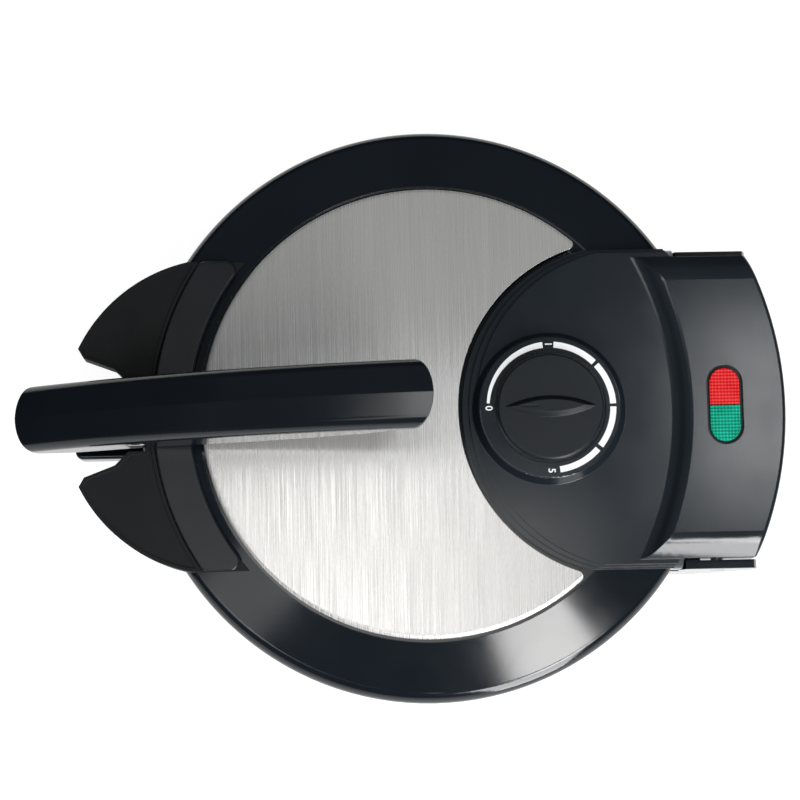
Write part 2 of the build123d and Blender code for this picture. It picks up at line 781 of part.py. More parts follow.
with BuildPart() as gland_nut:
    with BuildSketch(across(box_rear_y - shell_wall - face_gap)):
        with Locations((gland_x, gland_z)):
            RegularPolygon(gland_nut_radius, 6)
            Circle(gland_spigot_radius + press_gap, mode=Mode.SUBTRACT)
    extrude(amount=gland_nut_thick)
gland_nut.part.label = "gland_nut"
export_step(gland_nut.part, "parts/gland_nut.step")

pin_head_x = lug_inner_x - face_gap
pin_length = box_half_width - face_gap - pin_head_x
with BuildPart() as hinge_pins:
    for pin_way in (-1, 1):
        with BuildSketch(side(pin_way * pin_head_x)):
            with Locations((hinge_y, hinge_z)):
                Circle(hinge_pin_radius)
        extrude(amount=pin_way * pin_length)
        with BuildSketch(side(pin_way * pin_head_x)):
            with Locations((hinge_y, hinge_z)):
                Circle(hinge_pin_head_radius)
        extrude(amount=-pin_way * hinge_pin_head_thick)
hinge_pins.part.label = "hinge_pins"
export_step(hinge_pins.part, "parts/hinge_pins.step")


# Lid

with BuildPart() as hinge_bushes:
    for bush_x in (-lug_outer_x, lug_inner_x):
        with BuildSketch(side(bush_x)):
            with Locations((hinge_y, hinge_z)):
                Circle(hinge_pin_radius + run_gap + hinge_bush_wall)
                Circle(hinge_pin_radius + run_gap, mode=Mode.SUBTRACT)
        extrude(amount=lug_thick)
hinge_bushes.part.label = "hinge_bushes"
export_step(hinge_bushes.part, "parts/hinge_bushes.step")


def lid_top_section(gap):
    """Closed section of everything under the lid's top surface, grown by a gap."""
    with BuildSketch(radial) as section:
        with BuildLine():
            Polyline(
                (lid_radius + gap, rim_height),
                (lid_radius + gap, 0),
                (0, 0),
                (0, lid_floor_top + gap),
                (ledge_radius - gap, lid_floor_top + gap),
                (ledge_radius - gap, steel_ledge + gap),
                (ring_inner_radius - gap, steel_ledge + gap),
                (ring_inner_radius - gap, ring_top + gap),
                (lid_shoulder_radius, shoulder_top + gap),
            )
            EllipticalCenterArc(
                (lid_shoulder_radius, rim_height),
                lid_radius + gap - lid_shoulder_radius,
                shoulder_top + gap - rim_height,
                start_angle=0,
                arc_size=90,
            )
        make_face()
    return section.sketch


with BuildPart() as lid_shell:
    with BuildSketch(radial):
        add(lid_top_section(0))
        with BuildLine():
            tuck_radius = lid_radius - lid_skirt_tuck
            Polyline(
                (0, 0),
                (0, lid_bottom),
                (tuck_radius, lid_bottom),
                (lid_radius, rim_height),
                (lid_radius, 0),
                close=True,
            )
        make_face(mode=Mode.SUBTRACT)
    revolve(axis=lid_axis)
    # Hollow ring, with a floor under the steel and a flange for the upper plate
    with BuildSketch(radial):
        hollow_inner = ring_inner_radius + shell_wall
        with BuildLine():
            Polyline(
                (0, lid_flange_top),
                (tuck_radius - shell_wall, lid_flange_top),
                (lid_radius - shell_wall, rim_height),
                (lid_shoulder_radius - shell_wall / 2, shoulder_top - shell_wall),
                (hollow_inner, ring_top - shell_wall),
                (hollow_inner, lid_floor_bottom),
                (0, lid_floor_bottom),
                close=True,
            )
        make_face()
    revolve(axis=lid_axis, mode=Mode.SUBTRACT)
    with BuildSketch(level(0)):
        Circle(tuck_radius - shell_wall)
    extrude(amount=lid_flange_bottom, mode=Mode.SUBTRACT)
    with BuildSketch(level(lid_flange_bottom)):
        Circle(opening_radius)
    extrude(amount=floor_wall, mode=Mode.SUBTRACT)
    # Posts that clamp the reflector and the plate
    with BuildSketch(level(upper_flange_bottom + sheet + face_gap)):
        with Locations(*plate_screw_places):
            Circle(plate_post_radius)
    extrude(until=Until.NEXT)
    with BuildSketch(level(lid_floor_top)):
        with Locations(*plate_screw_places, *panel_screw_places):
            Circle(screw_radius + screw_gap)
    extrude(amount=-(lid_floor_top - upper_flange_bottom), mode=Mode.SUBTRACT)
    with BuildSketch(level(lid_floor_bottom)):
        with Locations((0, dial_y)):
            Rectangle(thermostat_length - 2 * shell_wall, thermostat_width - 2 * shell_wall)
    extrude(amount=floor_wall, mode=Mode.SUBTRACT)
    # Gate for the wires, from the ring into the hump
    with BuildSketch(across(hinge_y)):
        with Locations((0, rim_height)):
            Rectangle(2 * wire_gate_half_width, 3 * floor_wall)
    extrude(amount=2 * shell_wall + face_gap, both=True, mode=Mode.SUBTRACT)
    # Hinge lugs
    lug_root_y = sqrt((tuck_radius - shell_wall) ** 2 - lug_outer_x**2)
    for lug_x in (-lug_outer_x, lug_inner_x):
        with BuildSketch(side(lug_x)):
            with Locations((hinge_y, hinge_z)):
                Circle(lug_radius)
            with BuildLine():
                Polyline(
                    (lug_root_y, lid_bottom + face_gap),
                    (hinge_y, lid_bottom + face_gap),
                    (hinge_y, hinge_z + lug_radius),
                    (lug_root_y, hinge_z + lug_radius),
                    close=True,
                )
            make_face()
        extrude(amount=lug_thick)
        with BuildSketch(side(lug_x)):
            with Locations((hinge_y, hinge_z)):
                Circle(hinge_pin_radius + run_gap + hinge_bush_wall + press_gap)
        extrude(amount=lug_thick, mode=Mode.SUBTRACT)
    # Screw holes under the bracket
    with BuildSketch(level(ring_top)):
        with Locations(*band_screw_places):
            Circle(screw_radius + screw_gap)
    extrude(amount=-3 * shell_wall, mode=Mode.SUBTRACT)
lid_shell.part.label = "lid_shell"
export_step(lid_shell.part, "parts/lid_shell.step")

upper_cooking_plate = cooking_plate(upper_surface, upper_back, upper_lip_bottom, upper_lip_top)
upper_cooking_plate.label = "upper_cooking_plate"
export_step(upper_cooking_plate, "parts/upper_cooking_plate.step")

upper_shank = lid_floor_top + face_gap - upper_back + plate_thread_depth
upper_plate_screws = screw_set(plate_screw_places, lid_floor_top + face_gap, upper_shank)
upper_plate_screws.label = "upper_plate_screws"
export_step(upper_plate_screws, "parts/upper_plate_screws.step")

upper_terminal_length = lid_floor_bottom - upper_back - 2 * face_gap
upper_heating_element = heating_element(upper_back, 1, upper_terminal_length, 90)
upper_heating_element.label = "upper_heating_element"
export_step(upper_heating_element, "parts/upper_heating_element.step")

upper_heat_reflector = heat_reflector(upper_pan, upper_flange_bottom, 90)
upper_heat_reflector.label = "upper_heat_reflector"
export_step(upper_heat_reflector, "parts/upper_heat_reflector.step")


def steel_section(thickness):
    """Half section of the domed sheet's solid body, less a thickness on the outside."""
    shoulder_z = steel_bottom + steel_shoulder_rise - thickness
    apex_z = ring_top + steel_apex_rise - thickness
    rim = steel_radius - thickness
    with BuildSketch(radial) as section:
        with BuildLine():
            Line((0, steel_bottom), (rim, steel_bottom))
            Line((rim, steel_bottom), (rim, shoulder_z - steel_corner / 2))
            Spline(
                (rim, shoulder_z - steel_corner / 2),
                (rim - steel_corner, shoulder_z),
                tangents=((0, 1), (-1, 0.06)),
            )
            ThreePointArc(
                (rim - steel_corner, shoulder_z),
                (rim / 2, shoulder_z + 0.75 * (apex_z - shoulder_z)),
                (0, apex_z),
            )
            Line((0, apex_z), (0, steel_bottom))
        make_face()
    return section.sketch


with BuildPart() as steel_cover_plate:
    with BuildSketch(radial):
        add(steel_section(0))
        add(steel_section(sheet), mode=Mode.SUBTRACT)
    revolve(axis=lid_axis)
    # Crescent plan with rounded tips, clear of the panel
    with BuildSketch(level(steel_bottom)) as crescent:
        Circle(steel_radius)
        with Locations((0, panel_centre_y)):
            Circle(panel_radius + panel_groove, mode=Mode.SUBTRACT)
        fillet(crescent.vertices(), steel_tip_rounding)
    extrude(amount=steel_rim_drop + steel_apex_rise, mode=Mode.INTERSECT)
steel_cover_plate.part.label = "steel_cover_plate"
export_step(steel_cover_plate.part, "parts/steel_cover_plate.step")


def panel_outline(radius, centre_y, half_width, rim_radius):
    """Round front and straight sides, ended by an arc near the lid's rim."""
    with BuildSketch() as outline:
        with Locations((0, centre_y)):
            Circle(radius)
        with Locations((0, centre_y + lid_radius / 2)):
            Rectangle(2 * half_width, lid_radius)
        with Locations((0, lid_radius / 2)):
            Rectangle(2 * half_width, lid_radius, mode=Mode.INTERSECT)
        Circle(rim_radius, mode=Mode.INTERSECT)
    return outline.sketch


def hump_body(wall):
    """Solid body of the rear hump, or its inside when a wall is given."""
    half_width = panel_half_width - wall
    waist = hump_half_width - wall
    flat = hump_flat_half_width
    top = hump_top - wall
    shoulder = hump_top - hump_shoulder_drop
    front_centre_y = hump_front_y - hump_front_radius
    with BuildPart() as body:
        with BuildSketch(across(hump_rear_radius)):
            with BuildLine():
                Polyline((0, top), (0, hump_bottom), (half_width, hump_bottom), (half_width, shoulder))
                EllipticalCenterArc(
                    (flat, shoulder), half_width - flat, top - shoulder, start_angle=0, arc_size=90
                )
                Line((flat, top), (0, top))
            make_face()
            mirror(about=Plane.YZ)
        extrude(amount=hump_rear_radius)
        with BuildSketch(level(hump_bottom)):
            Circle(hump_rear_radius - wall)
            with Locations((0, -hump_rear_radius)):
                Rectangle(2 * hump_rear_radius, 2 * hump_rear_radius, mode=Mode.SUBTRACT)
        extrude(amount=hump_top, mode=Mode.INTERSECT)
        with BuildSketch(across(front_centre_y)):
            with BuildLine():
                foot = (hump_front_radius, panel_top - wall)
                middle = (hump_front_radius + hump_front_run / 2, (panel_top + hump_top) / 2 - wall)
                crest = (hump_front_radius + hump_front_run, top)
                slope = TangentArc(
                    foot, middle, tangent=(cos(radians(hump_front_turn)), sin(radians(hump_front_turn)))
                )
                TangentArc(middle, crest, tangent=slope % 1)
                Polyline(crest, (0, top), (0, hump_bottom), (hump_front_radius, hump_bottom), foot)
            make_face()
        revolve(axis=Axis((0, disc_y + front_centre_y, 0), (0, 0, 1)), mode=Mode.SUBTRACT)
        # Narrower waist between the base's cheeks
        waist_y = hinge_y - cheek_radius - side_gap - wall
        with BuildSketch(level(hump_bottom)):
            with Locations((-waist - lid_radius / 2, waist_y + lid_radius / 2)):
                Rectangle(lid_radius, lid_radius)
            with Locations((waist + lid_radius / 2, waist_y + lid_radius / 2)):
                Rectangle(lid_radius, lid_radius)
        extrude(amount=hump_top, mode=Mode.SUBTRACT)
    return body.part


hump_inside = hump_body(panel_wall)
step_centre_y = (panel_inner_centre_y + panel_centre_y) / 2
step_radius = (panel_inner_radius + panel_radius) / 2
step_half_width = (panel_inner_half_width + panel_half_width) / 2
panel_rim = lid_radius - face_gap

with BuildPart() as control_panel:
    with BuildSketch(level(hump_bottom)):
        add(panel_outline(panel_radius, panel_centre_y, panel_half_width, panel_rim))
    extrude(amount=panel_step_one - hump_bottom)
    with BuildSketch(level(hump_bottom)):
        add(panel_outline(step_radius, step_centre_y, step_half_width, panel_rim))
    extrude(amount=panel_step_two - hump_bottom)
    with BuildSketch(level(hump_bottom)):
        add(panel_outline(panel_inner_radius, panel_inner_centre_y, panel_inner_half_width, panel_rim))
    extrude(amount=panel_top - hump_bottom)
    with BuildSketch(level(panel_ceiling)):
        with Locations((0, dial_y)):
            Circle(dial_radius + dial_foot_flare)
    extrude(amount=panel_wall)
    with Locations(Pos(0, disc_y + dial_y, panel_top)):
        Cone(
            dial_radius + dial_foot_flare,
            dial_radius,
            dial_top - panel_top,
            align=(Align.CENTER, Align.CENTER, Align.MIN),
        )
    add(hump_body(0))
    fillet(control_panel.faces().sort_by(Axis.Z)[-1].edges(), dial_edge_rounding)
    rear_face = control_panel.faces().sort_by(Axis.Y)[-1]
    rear_top_edges = rear_face.edges().filter_by(Axis.Z, reverse=True).filter_by(
        lambda edge: edge.center().Z > hump_top - hump_shoulder_drop
    )
    fillet(rear_top_edges, hump_edge_rounding)
    # Hollow inside: the panel, the dial boss and the hump
    with BuildSketch(level(hump_bottom)):
        add(
            panel_outline(
                panel_inner_radius - panel_wall,
                panel_inner_centre_y,
                panel_inner_half_width - panel_wall,
                panel_rim - panel_wall,
            )
        )
    extrude(amount=panel_ceiling - hump_bottom, mode=Mode.SUBTRACT)
    with Locations(Pos(0, disc_y + dial_y, panel_ceiling)):
        Cone(
            dial_radius + dial_foot_flare - panel_wall,
            dial_radius - panel_wall,
            dial_ceiling - panel_ceiling,
            align=(Align.CENTER, Align.CENTER, Align.MIN),
            mode=Mode.SUBTRACT,
        )
    add(hump_inside, mode=Mode.SUBTRACT)
    # Posts for the screws, shaped to the ceiling by the walls they join
    with BuildSketch(level(lid_floor_top)):
        with Locations(*panel_screw_places):
            Circle(panel_post_radius)
    extrude(amount=panel_top - panel_wall / 2 - lid_floor_top)
    with BuildSketch(level(lid_floor_top)):
        with Locations(*panel_screw_places):
            Circle(screw_radius + press_gap)
    extrude(amount=panel_screw_reach + slip_gap, mode=Mode.SUBTRACT)
    with BuildSketch(level(hump_cover_top)):
        with Locations(*hump_screw_places):
            Circle(panel_post_radius)
    extrude(amount=hump_top - panel_wall / 2 - hump_cover_top)
    with BuildSketch(level(hump_cover_top)):
        with Locations(*hump_screw_places):
            Circle(screw_radius + press_gap)
    extrude(amount=panel_screw_reach + slip_gap, mode=Mode.SUBTRACT)
    # Room for the lid's top, the lugs and the pins
    with BuildSketch(radial):
        add(lid_top_section(face_gap))
    revolve(axis=lid_axis, mode=Mode.SUBTRACT)
    # Knob recess, thermostat neck and light window
    with BuildSketch(level(dial_top)):
        with Locations((0, dial_y)):
            Circle(knob_radius + knob_recess_gap)
    extrude(amount=-knob_recess_depth, mode=Mode.SUBTRACT)
    with BuildSketch(level(dial_top)):
        with Locations((0, dial_y)):
            Circle(thermostat_neck_radius + press_gap)
    extrude(amount=-2 * panel_wall, mode=Mode.SUBTRACT)
    with BuildSketch(level(hump_top)):
        with Locations((0, light_y)):
            SlotOverall(light_window_length, light_window_width)
    extrude(amount=-2 * panel_wall, mode=Mode.SUBTRACT)
control_panel.part.label = "control_panel"
export_step(control_panel.part, "parts/control_panel.step")

panel_screws = screw_set(
    panel_screw_places, lid_floor_bottom - face_gap, floor_wall + face_gap + panel_screw_reach, way=-1
)
panel_screws.label = "panel_screws"
export_step(panel_screws, "parts/panel_screws.step")

hump_cover_half_width = lug_inner_x - 2 * hinge_pin_head_thick - side_gap
with BuildPart() as hump_cover:
    with BuildSketch(level(hump_bottom)):
        Circle(hump_rear_radius - panel_wall - slip_gap)
        Circle(lid_radius + slip_gap, mode=Mode.SUBTRACT)
        with Locations((0, hinge_y)):
            Rectangle(2 * hump_cover_half_width, lid_radius, mode=Mode.INTERSECT)
    extrude(amount=floor_wall)
    with BuildSketch(level(hump_bottom)):
        with Locations(*hump_screw_places):
            Circle(screw_radius + screw_gap)
        with Locations((0, light_y + lug_radius)):
            with GridLocations(slot_pitch, 0, slot_count, 1):
                SlotOverall(vent_length, vent_width, rotation=90)
    extrude(amount=floor_wall, mode=Mode.SUBTRACT)
hump_cover.part.label = "hump_cover"
export_step(hump_cover.part, "parts/hump_cover.step")

hump_cover_screws = screw_set(
    hump_screw_places, hump_bottom - face_gap, floor_wall + face_gap + panel_screw_reach, way=-1
)
hump_cover_screws.label = "hump_cover_screws"
export_step(hump_cover_screws, "parts/hump_cover_screws.step")

# Pilot lights: a tray under the window holds both lenses and lamps
lens_length = light_window_length - 2 * light_gap
lens_width = light_window_width - 2 * light_gap
lens_top = hump_top - lens_recess
lens_bottom = lens_top - lens_thick
holder_top = hump_ceiling - face_gap
holder_bottom = holder_top - holder_height

with BuildPart() as lamp_holder:
    with BuildSketch(level(holder_bottom)):
        with Locations((0, light_y)):
            SlotOverall(light_window_length + 2 * holder_wall, light_window_width + 2 * holder_wall)
    extrude(amount=holder_height)
    with BuildSketch(level(lens_bottom - face_gap)):
        with Locations((0, light_y)):
            SlotOverall(lens_length + 2 * slip_gap, lens_width + 2 * slip_gap)
    extrude(amount=holder_height, mode=Mode.SUBTRACT)
    with BuildSketch(level(holder_bottom + holder_wall)):
        with Locations((0, light_y)):
            SlotOverall(lens_length - 2 * holder_wall, lens_width - 2 * holder_wall)
    extrude(amount=holder_height, mode=Mode.SUBTRACT)
lamp_holder.part.label = "lamp_holder"
export_step(lamp_holder.part, "parts/lamp_holder.step")


def lens_half(way):
    """One half of the capsule-shaped window, cut straight at the middle."""
    with BuildPart() as lens:
        with BuildSketch(level(lens_bottom)):
            with Locations((0, light_y)):
                SlotOverall(lens_length, lens_width)
            with Locations((way * (lens_length + lens_split) / 2, light_y)):
                Rectangle(lens_length, 2 * lens_width, mode=Mode.INTERSECT)
        extrude(amount=lens_thick)
        fillet(lens.faces().sort_by(Axis.Z)[-1].edges(), lens_edge_rounding)
    return lens.part


red_lens = lens_half(-1)
red_lens.label = "red_lens"
export_step(red_lens, "parts/red_lens.step")

green_lens = lens_half(1)
green_lens.label = "green_lens"
export_step(green_lens, "parts/green_lens.step")

with BuildPart() as pilot_lamps:
    lamp_z = holder_bottom + holder_wall + face_gap + lamp_radius
    for lamp_way in (-1, 1):
        with BuildSketch(side((lamp_way * lamp_spacing - lamp_length) / 2)):
            with Locations((light_y, lamp_z)):
                Circle(lamp_radius)
        extrude(amount=lamp_length)
pilot_lamps.part.label = "pilot_lamps"
export_step(pilot_lamps.part, "parts/pilot_lamps.step")

# Thermostat under the dial boss
thermostat_top = dial_ceiling - face_gap
neck_top = dial_top - knob_recess_depth + thermostat_nut_thick + face_gap

with BuildPart() as thermostat_body:
    with BuildSketch(level(thermostat_top)):
        with Locations((0, dial_y)):
            Rectangle(thermostat_length, thermostat_width)
    extrude(amount=-thermostat_height)
    fillet(thermostat_body.edges().filter_by(Axis.Z), thermostat_corner)
    with BuildSketch(level(thermostat_top)):
        with Locations((0, dial_y)):
            Circle(thermostat_neck_radius)
    extrude(amount=neck_top - thermostat_top)
    with BuildSketch(level(neck_top)):
        with Locations((0, dial_y)):
            Circle(shaft_radius + run_gap)
    extrude(amount=-(neck_top - thermostat_top + shaft_depth), mode=Mode.SUBTRACT)
thermostat_body.part.label = "thermostat_body"
export_step(thermostat_body.part, "parts/thermostat_body.step")

with BuildPart() as thermostat_nut:
    with BuildSketch(level(dial_top - knob_recess_depth + face_gap)):
        with Locations((0, dial_y)):
            RegularPolygon(thermostat_nut_radius, 6)
            Circle(thermostat_neck_radius + press_gap, mode=Mode.SUBTRACT)
    extrude(amount=thermostat_nut_thick)
thermostat_nut.part.label = "thermostat_nut"
export_step(thermostat_nut.part, "parts/thermostat_nut.step")


# Dial

knob_face = knob_bottom + knob_thick
knob_cavity_top = knob_face - knob_wall
bore_top = knob_cavity_top + shaft_engagement

with BuildPart() as control_knob:
    with BuildSketch(level(knob_bottom)):
        with Locations((0, dial_y)):
            Circle(knob_radius)
    extrude(amount=knob_thick)
    fillet(control_knob.edges().group_by(Axis.Z)[-1], knob_edge_rounding)
    # Grip ridge with the outline of a lens, from two crossing circles
    with BuildSketch(level(knob_face)):
        half_width = knob_ridge_width / 2
        ridge_arc = ((knob_ridge_length / 2) ** 2 + half_width**2) / (2 * half_width)
        with Locations((half_width - ridge_arc, dial_y)):
            Circle(ridge_arc)
        with Locations((ridge_arc - half_width, dial_y)):
            Circle(ridge_arc, mode=Mode.INTERSECT)
    extrude(amount=knob_ridge_height, taper=knob_ridge_taper)
    with BuildSketch(level(knob_face + knob_ridge_height)):
        pointer_tip = dial_y - knob_ridge_length / 2 + pointer_end
        with Locations((0, pointer_tip + pointer_length / 2)):
            SlotOverall(pointer_length, pointer_width, rotation=90)
    extrude(amount=-pointer_depth, mode=Mode.SUBTRACT)
    with BuildSketch(level(knob_bottom)):
        with Locations((0, dial_y)):
            Circle(knob_radius - knob_wall)
    extrude(amount=knob_cavity_top - knob_bottom, mode=Mode.SUBTRACT)
    with BuildSketch(level(knob_cavity_top)):
        with Locations((0, dial_y)):
            Circle(shaft_radius + press_gap)
    extrude(amount=shaft_engagement, mode=Mode.SUBTRACT)
control_knob.part.label = "control_knob"
export_step(control_knob.part, "parts/control_knob.step")

with BuildPart() as thermostat_shaft:
    shaft_bottom = thermostat_top - shaft_depth + face_gap
    with BuildSketch(level(shaft_bottom)):
        with Locations((0, dial_y)):
            Circle(shaft_radius)
    extrude(amount=bore_top - face_gap - shaft_bottom)
    chamfer(thermostat_shaft.edges().group_by(Axis.Z)[-1], shaft_chamfer)
thermostat_shaft.part.label = "thermostat_shaft"
export_step(thermostat_shaft.part, "parts/thermostat_shaft.step")


# Front guard and handle bracket

def notch():
    """Plan outline of the opening between the two wings of the guard."""
    with BuildSketch() as opening:
        with BuildLine():
            mouth_y = guard_centre_y - guard_radius
            straight_y = notch_root_y - notch_straight
            outside_x = notch_mouth_half_width + notch_flare
            outside_y = mouth_y - notch_flare
            Polyline(
                (0, notch_root_y),
                (notch_root_half_width, notch_root_y),
                (notch_root_half_width, straight_y),
                (notch_root_half_width + notch_flare, straight_y - notch_flare),
                (notch_mouth_half_width, mouth_y + notch_mouth_depth),
                (outside_x, mouth_y + notch_flare),
                (outside_x, outside_y),
                (0, outside_y),
                close=True,
            )
        make_face()
        mirror(about=Plane.YZ)
    return opening.sketch


def guard_outline(inner_radius, inset):
    """The guard's plan outside a radius about the disc's axis, drawn in by an inset."""
    with BuildSketch() as outline:
        with Locations((0, guard_centre_y)):
            Circle(guard_radius - inset)
        with Locations((0, -lid_radius)):
            Rectangle(2 * (guard_half_width - inset), 2 * lid_radius, mode=Mode.INTERSECT)
        Circle(inner_radius + inset, mode=Mode.SUBTRACT)
    return outline.sketch


with BuildPart() as front_guard:
    with BuildSketch(level(guard_bottom)):
        add(guard_outline(band_inner_radius + band_gap, 0))
    extrude(amount=band_bottom - face_gap - guard_bottom)
    with BuildSketch(level(guard_bottom)):
        add(guard_outline(band_outer_radius + band_gap, 0))
    extrude(amount=guard_top - guard_bottom)
    with BuildSketch(level(guard_bottom)):
        add(notch())
    extrude(amount=guard_top, mode=Mode.SUBTRACT)
    # Shallow pocket that leaves a thin lip round each wing
    with BuildSketch(level(guard_top)):
        add(guard_outline(band_outer_radius + band_gap, guard_lip_width))
        notch_rim = offset(notch(), amount=guard_lip_width, mode=Mode.PRIVATE)
        add(notch_rim, mode=Mode.SUBTRACT)
    extrude(amount=-guard_lip_height, mode=Mode.SUBTRACT)
    # Hollow underside beyond the lid's rim
    with BuildSketch(level(guard_bottom)):
        add(guard_outline(lid_radius, guard_skin))
        notch_wall = offset(notch(), amount=guard_skin, mode=Mode.PRIVATE)
        add(notch_wall, mode=Mode.SUBTRACT)
    extrude(amount=guard_top - guard_lip_height - guard_skin - guard_bottom, mode=Mode.SUBTRACT)
    with BuildSketch(radial):
        add(lid_top_section(face_gap))
    revolve(axis=lid_axis, mode=Mode.SUBTRACT)
    with BuildSketch(level(guard_top)):
        with Locations(*band_screw_places):
            Circle(screw_radius + screw_gap)
    extrude(amount=-guard_top, mode=Mode.SUBTRACT)
front_guard.part.label = "front_guard"
export_step(front_guard.part, "parts/front_guard.step")

with BuildPart() as handle_bracket:
    with BuildSketch(level(band_bottom)):
        Circle(band_outer_radius)
        Circle(band_inner_radius, mode=Mode.SUBTRACT)
        with Locations((0, -lid_radius)):
            Rectangle(2 * guard_half_width, 2 * lid_radius, mode=Mode.INTERSECT)
    extrude(amount=band_thick)
    fillet(handle_bracket.edges().filter_by(Axis.Z), band_corner)
    fillet(handle_bracket.faces().sort_by(Axis.Z)[-1].edges(), band_edge_rounding)
    # Lug that leans forward to the handle's pivot
    with BuildSketch(side(-pivot_lug_half_width)):
        lower_turn, upper_turn = [radians(turn) for turn in pivot_lug_turns]
        lower_y = pivot_y - pivot_lug_radius * cos(lower_turn)
        lower_z = pivot_z - pivot_lug_radius * sin(lower_turn)
        upper_y = pivot_y + pivot_lug_radius * cos(upper_turn)
        upper_z = pivot_z + pivot_lug_radius * sin(upper_turn)
        lug_rear_y = -band_inner_radius - band_edge_rounding
        with BuildLine():
            Polyline(
                (-band_outer_radius + band_thick, band_bottom),
                (lower_y, lower_z),
                (upper_y, upper_z),
                (lug_rear_y, band_top - band_edge_rounding),
                (lug_rear_y, band_bottom),
                close=True,
            )
        make_face()
        with Locations((pivot_y, pivot_z)):
            Circle(pivot_lug_radius)
            Circle(pivot_pin_radius + press_gap, mode=Mode.SUBTRACT)
    extrude(amount=2 * pivot_lug_half_width)
    with BuildSketch(level(band_bottom)):
        with Locations(*band_screw_places):
            Circle(screw_radius + press_gap)
    extrude(amount=band_thick - band_screw_cover + slip_gap, mode=Mode.SUBTRACT)
handle_bracket.part.label = "handle_bracket"
export_step(handle_bracket.part, "parts/handle_bracket.step")

ring_slope = (ring_top - shoulder_top) / (lid_shoulder_radius - ring_inner_radius)
band_screw_radius_height = shoulder_top + ring_slope * (lid_shoulder_radius - band_screw_circle)
band_screw_drop = ring_slope * screw_head_radius + slip_gap
band_screw_seat = band_screw_radius_height - shell_wall - band_screw_drop
band_screw_length = band_top - band_screw_cover - band_screw_seat
bracket_screws = screw_set(band_screw_places, band_screw_seat, band_screw_length, way=-1)
bracket_screws.label = "bracket_screws"
export_step(bracket_screws, "parts/bracket_screws.step")

lower_half_width = handle_width / 2 - lower_inset
handle_screw_seats = [seam_height(y) - handle_screw_sink for y in handle_screw_ys]

with BuildPart() as handle_pivot_pin:
    with BuildSketch(side(-lower_half_width + face_gap)):
        with Locations((pivot_y, pivot_z)):
            Circle(pivot_pin_radius)
    extrude(amount=2 * (lower_half_width - face_gap))
    chamfer(handle_pivot_pin.edges().filter_by(GeomType.CIRCLE), pivot_pin_chamfer)
handle_pivot_pin.part.label = "handle_pivot_pin"
export_step(handle_pivot_pin.part, "parts/handle_pivot_pin.step")


# Handle

bush_inner_x = pivot_lug_half_width + side_gap
bush_length = lower_half_width - face_gap - bush_inner_x
bush_radius = pivot_pin_radius + run_gap + pivot_bush_wall

with BuildPart() as pivot_bushes:
    for bush_way in (-1, 1):
        with BuildSketch(side(bush_way * bush_inner_x)):
            with Locations((pivot_y, pivot_z)):
                Circle(bush_radius)
                Circle(pivot_pin_radius + run_gap, mode=Mode.SUBTRACT)
        extrude(amount=bush_way * bush_length)
pivot_bushes.part.label = "pivot_bushes"
export_step(pivot_bushes.part, "parts/pivot_bushes.step")


def handle_plan(inset):
    """Plan outline of the handle: straight sides with shallow elliptical ends."""
    half_width = handle_width / 2 - inset
    depth = handle_end_depth - inset / 2
    front_y = handle_front_y + inset + depth
    rear_y = handle_rear_y - inset - depth
    with BuildSketch(level(0)) as plan:
        with Locations((0, (front_y + rear_y) / 2)):
            Rectangle(2 * half_width, rear_y - front_y)
        with Locations((0, front_y), (0, rear_y)):
            Ellipse(half_width, depth)
    return plan.sketch


def crown_body(inset, lift):
    """Arched crown over the seam, or its inside when an inset is given."""
    half_width = handle_width / 2 - inset
    seam_z = seam_centre_z + seam_radius + face_gap
    side_z = seam_z + crown_side
    flat_z = seam_z + crown_rise - inset
    with BuildPart() as crown:
        with BuildSketch(across(seam_centre_y)):
            with BuildLine():
                Polyline(
                    (0, flat_z + crown_crease),
                    (0, seam_z - lift),
                    (half_width, seam_z - lift),
                    (half_width, side_z),
                )
                EllipticalCenterArc(
                    (crown_flat_half_width, side_z),
                    half_width - crown_flat_half_width,
                    flat_z - side_z,
                    start_angle=0,
                    arc_size=90,
                )
                Line((crown_flat_half_width, flat_z), (0, flat_z + crown_crease))
            make_face()
            mirror(about=Plane.YZ)
        revolve(axis=seam_axis, revolution_arc=seam_turn)
        plan = extrude(handle_plan(inset), amount=2 * lid_radius, mode=Mode.PRIVATE)
        add(plan, mode=Mode.INTERSECT)
    return crown.part


def lower_body(inset, gap):
    """Body under the seam down to the lower shell's belly, or its inside when an inset is given."""
    half_width = handle_width / 2 - lower_inset - inset
    belly = [(pivot_y + y, seam_height(pivot_y + y) - depth + inset) for y, depth in lower_depths]
    with BuildPart() as lower:
        with BuildSketch(side(-half_width)):
            with BuildLine():
                Spline(*belly)
                front, rear = belly[0], belly[-1]
                Polyline(front, (front[0], seam_height(front[0]) + gap + inset))
                middle_y = (front[0] + rear[0]) / 2
                ThreePointArc(
                    (front[0], seam_height(front[0]) + gap + inset),
                    (middle_y, seam_height(middle_y) + gap + inset),
                    (rear[0], seam_height(rear[0]) + gap + inset),
                )
                Polyline((rear[0], seam_height(rear[0]) + gap + inset), rear)
            make_face()
        extrude(amount=2 * half_width)
        plan = extrude(handle_plan(lower_inset + inset), amount=2 * lid_radius, mode=Mode.PRIVATE)
        add(plan, mode=Mode.INTERSECT)
    return lower.part


def handle_posts(radius):
    """Upright posts, or with a smaller radius their holes, at the handle's screws."""
    with BuildPart() as posts:
        with BuildSketch(level(0)):
            with Locations(*[(0, y) for y in handle_screw_ys]):
                Circle(radius)
        extrude(amount=2 * lid_radius)
    return posts.part


crown_inside = crown_body(handle_wall, handle_wall) - handle_posts(handle_post_radius)
lower_inside = lower_body(handle_wall, 0) - handle_posts(handle_post_radius)

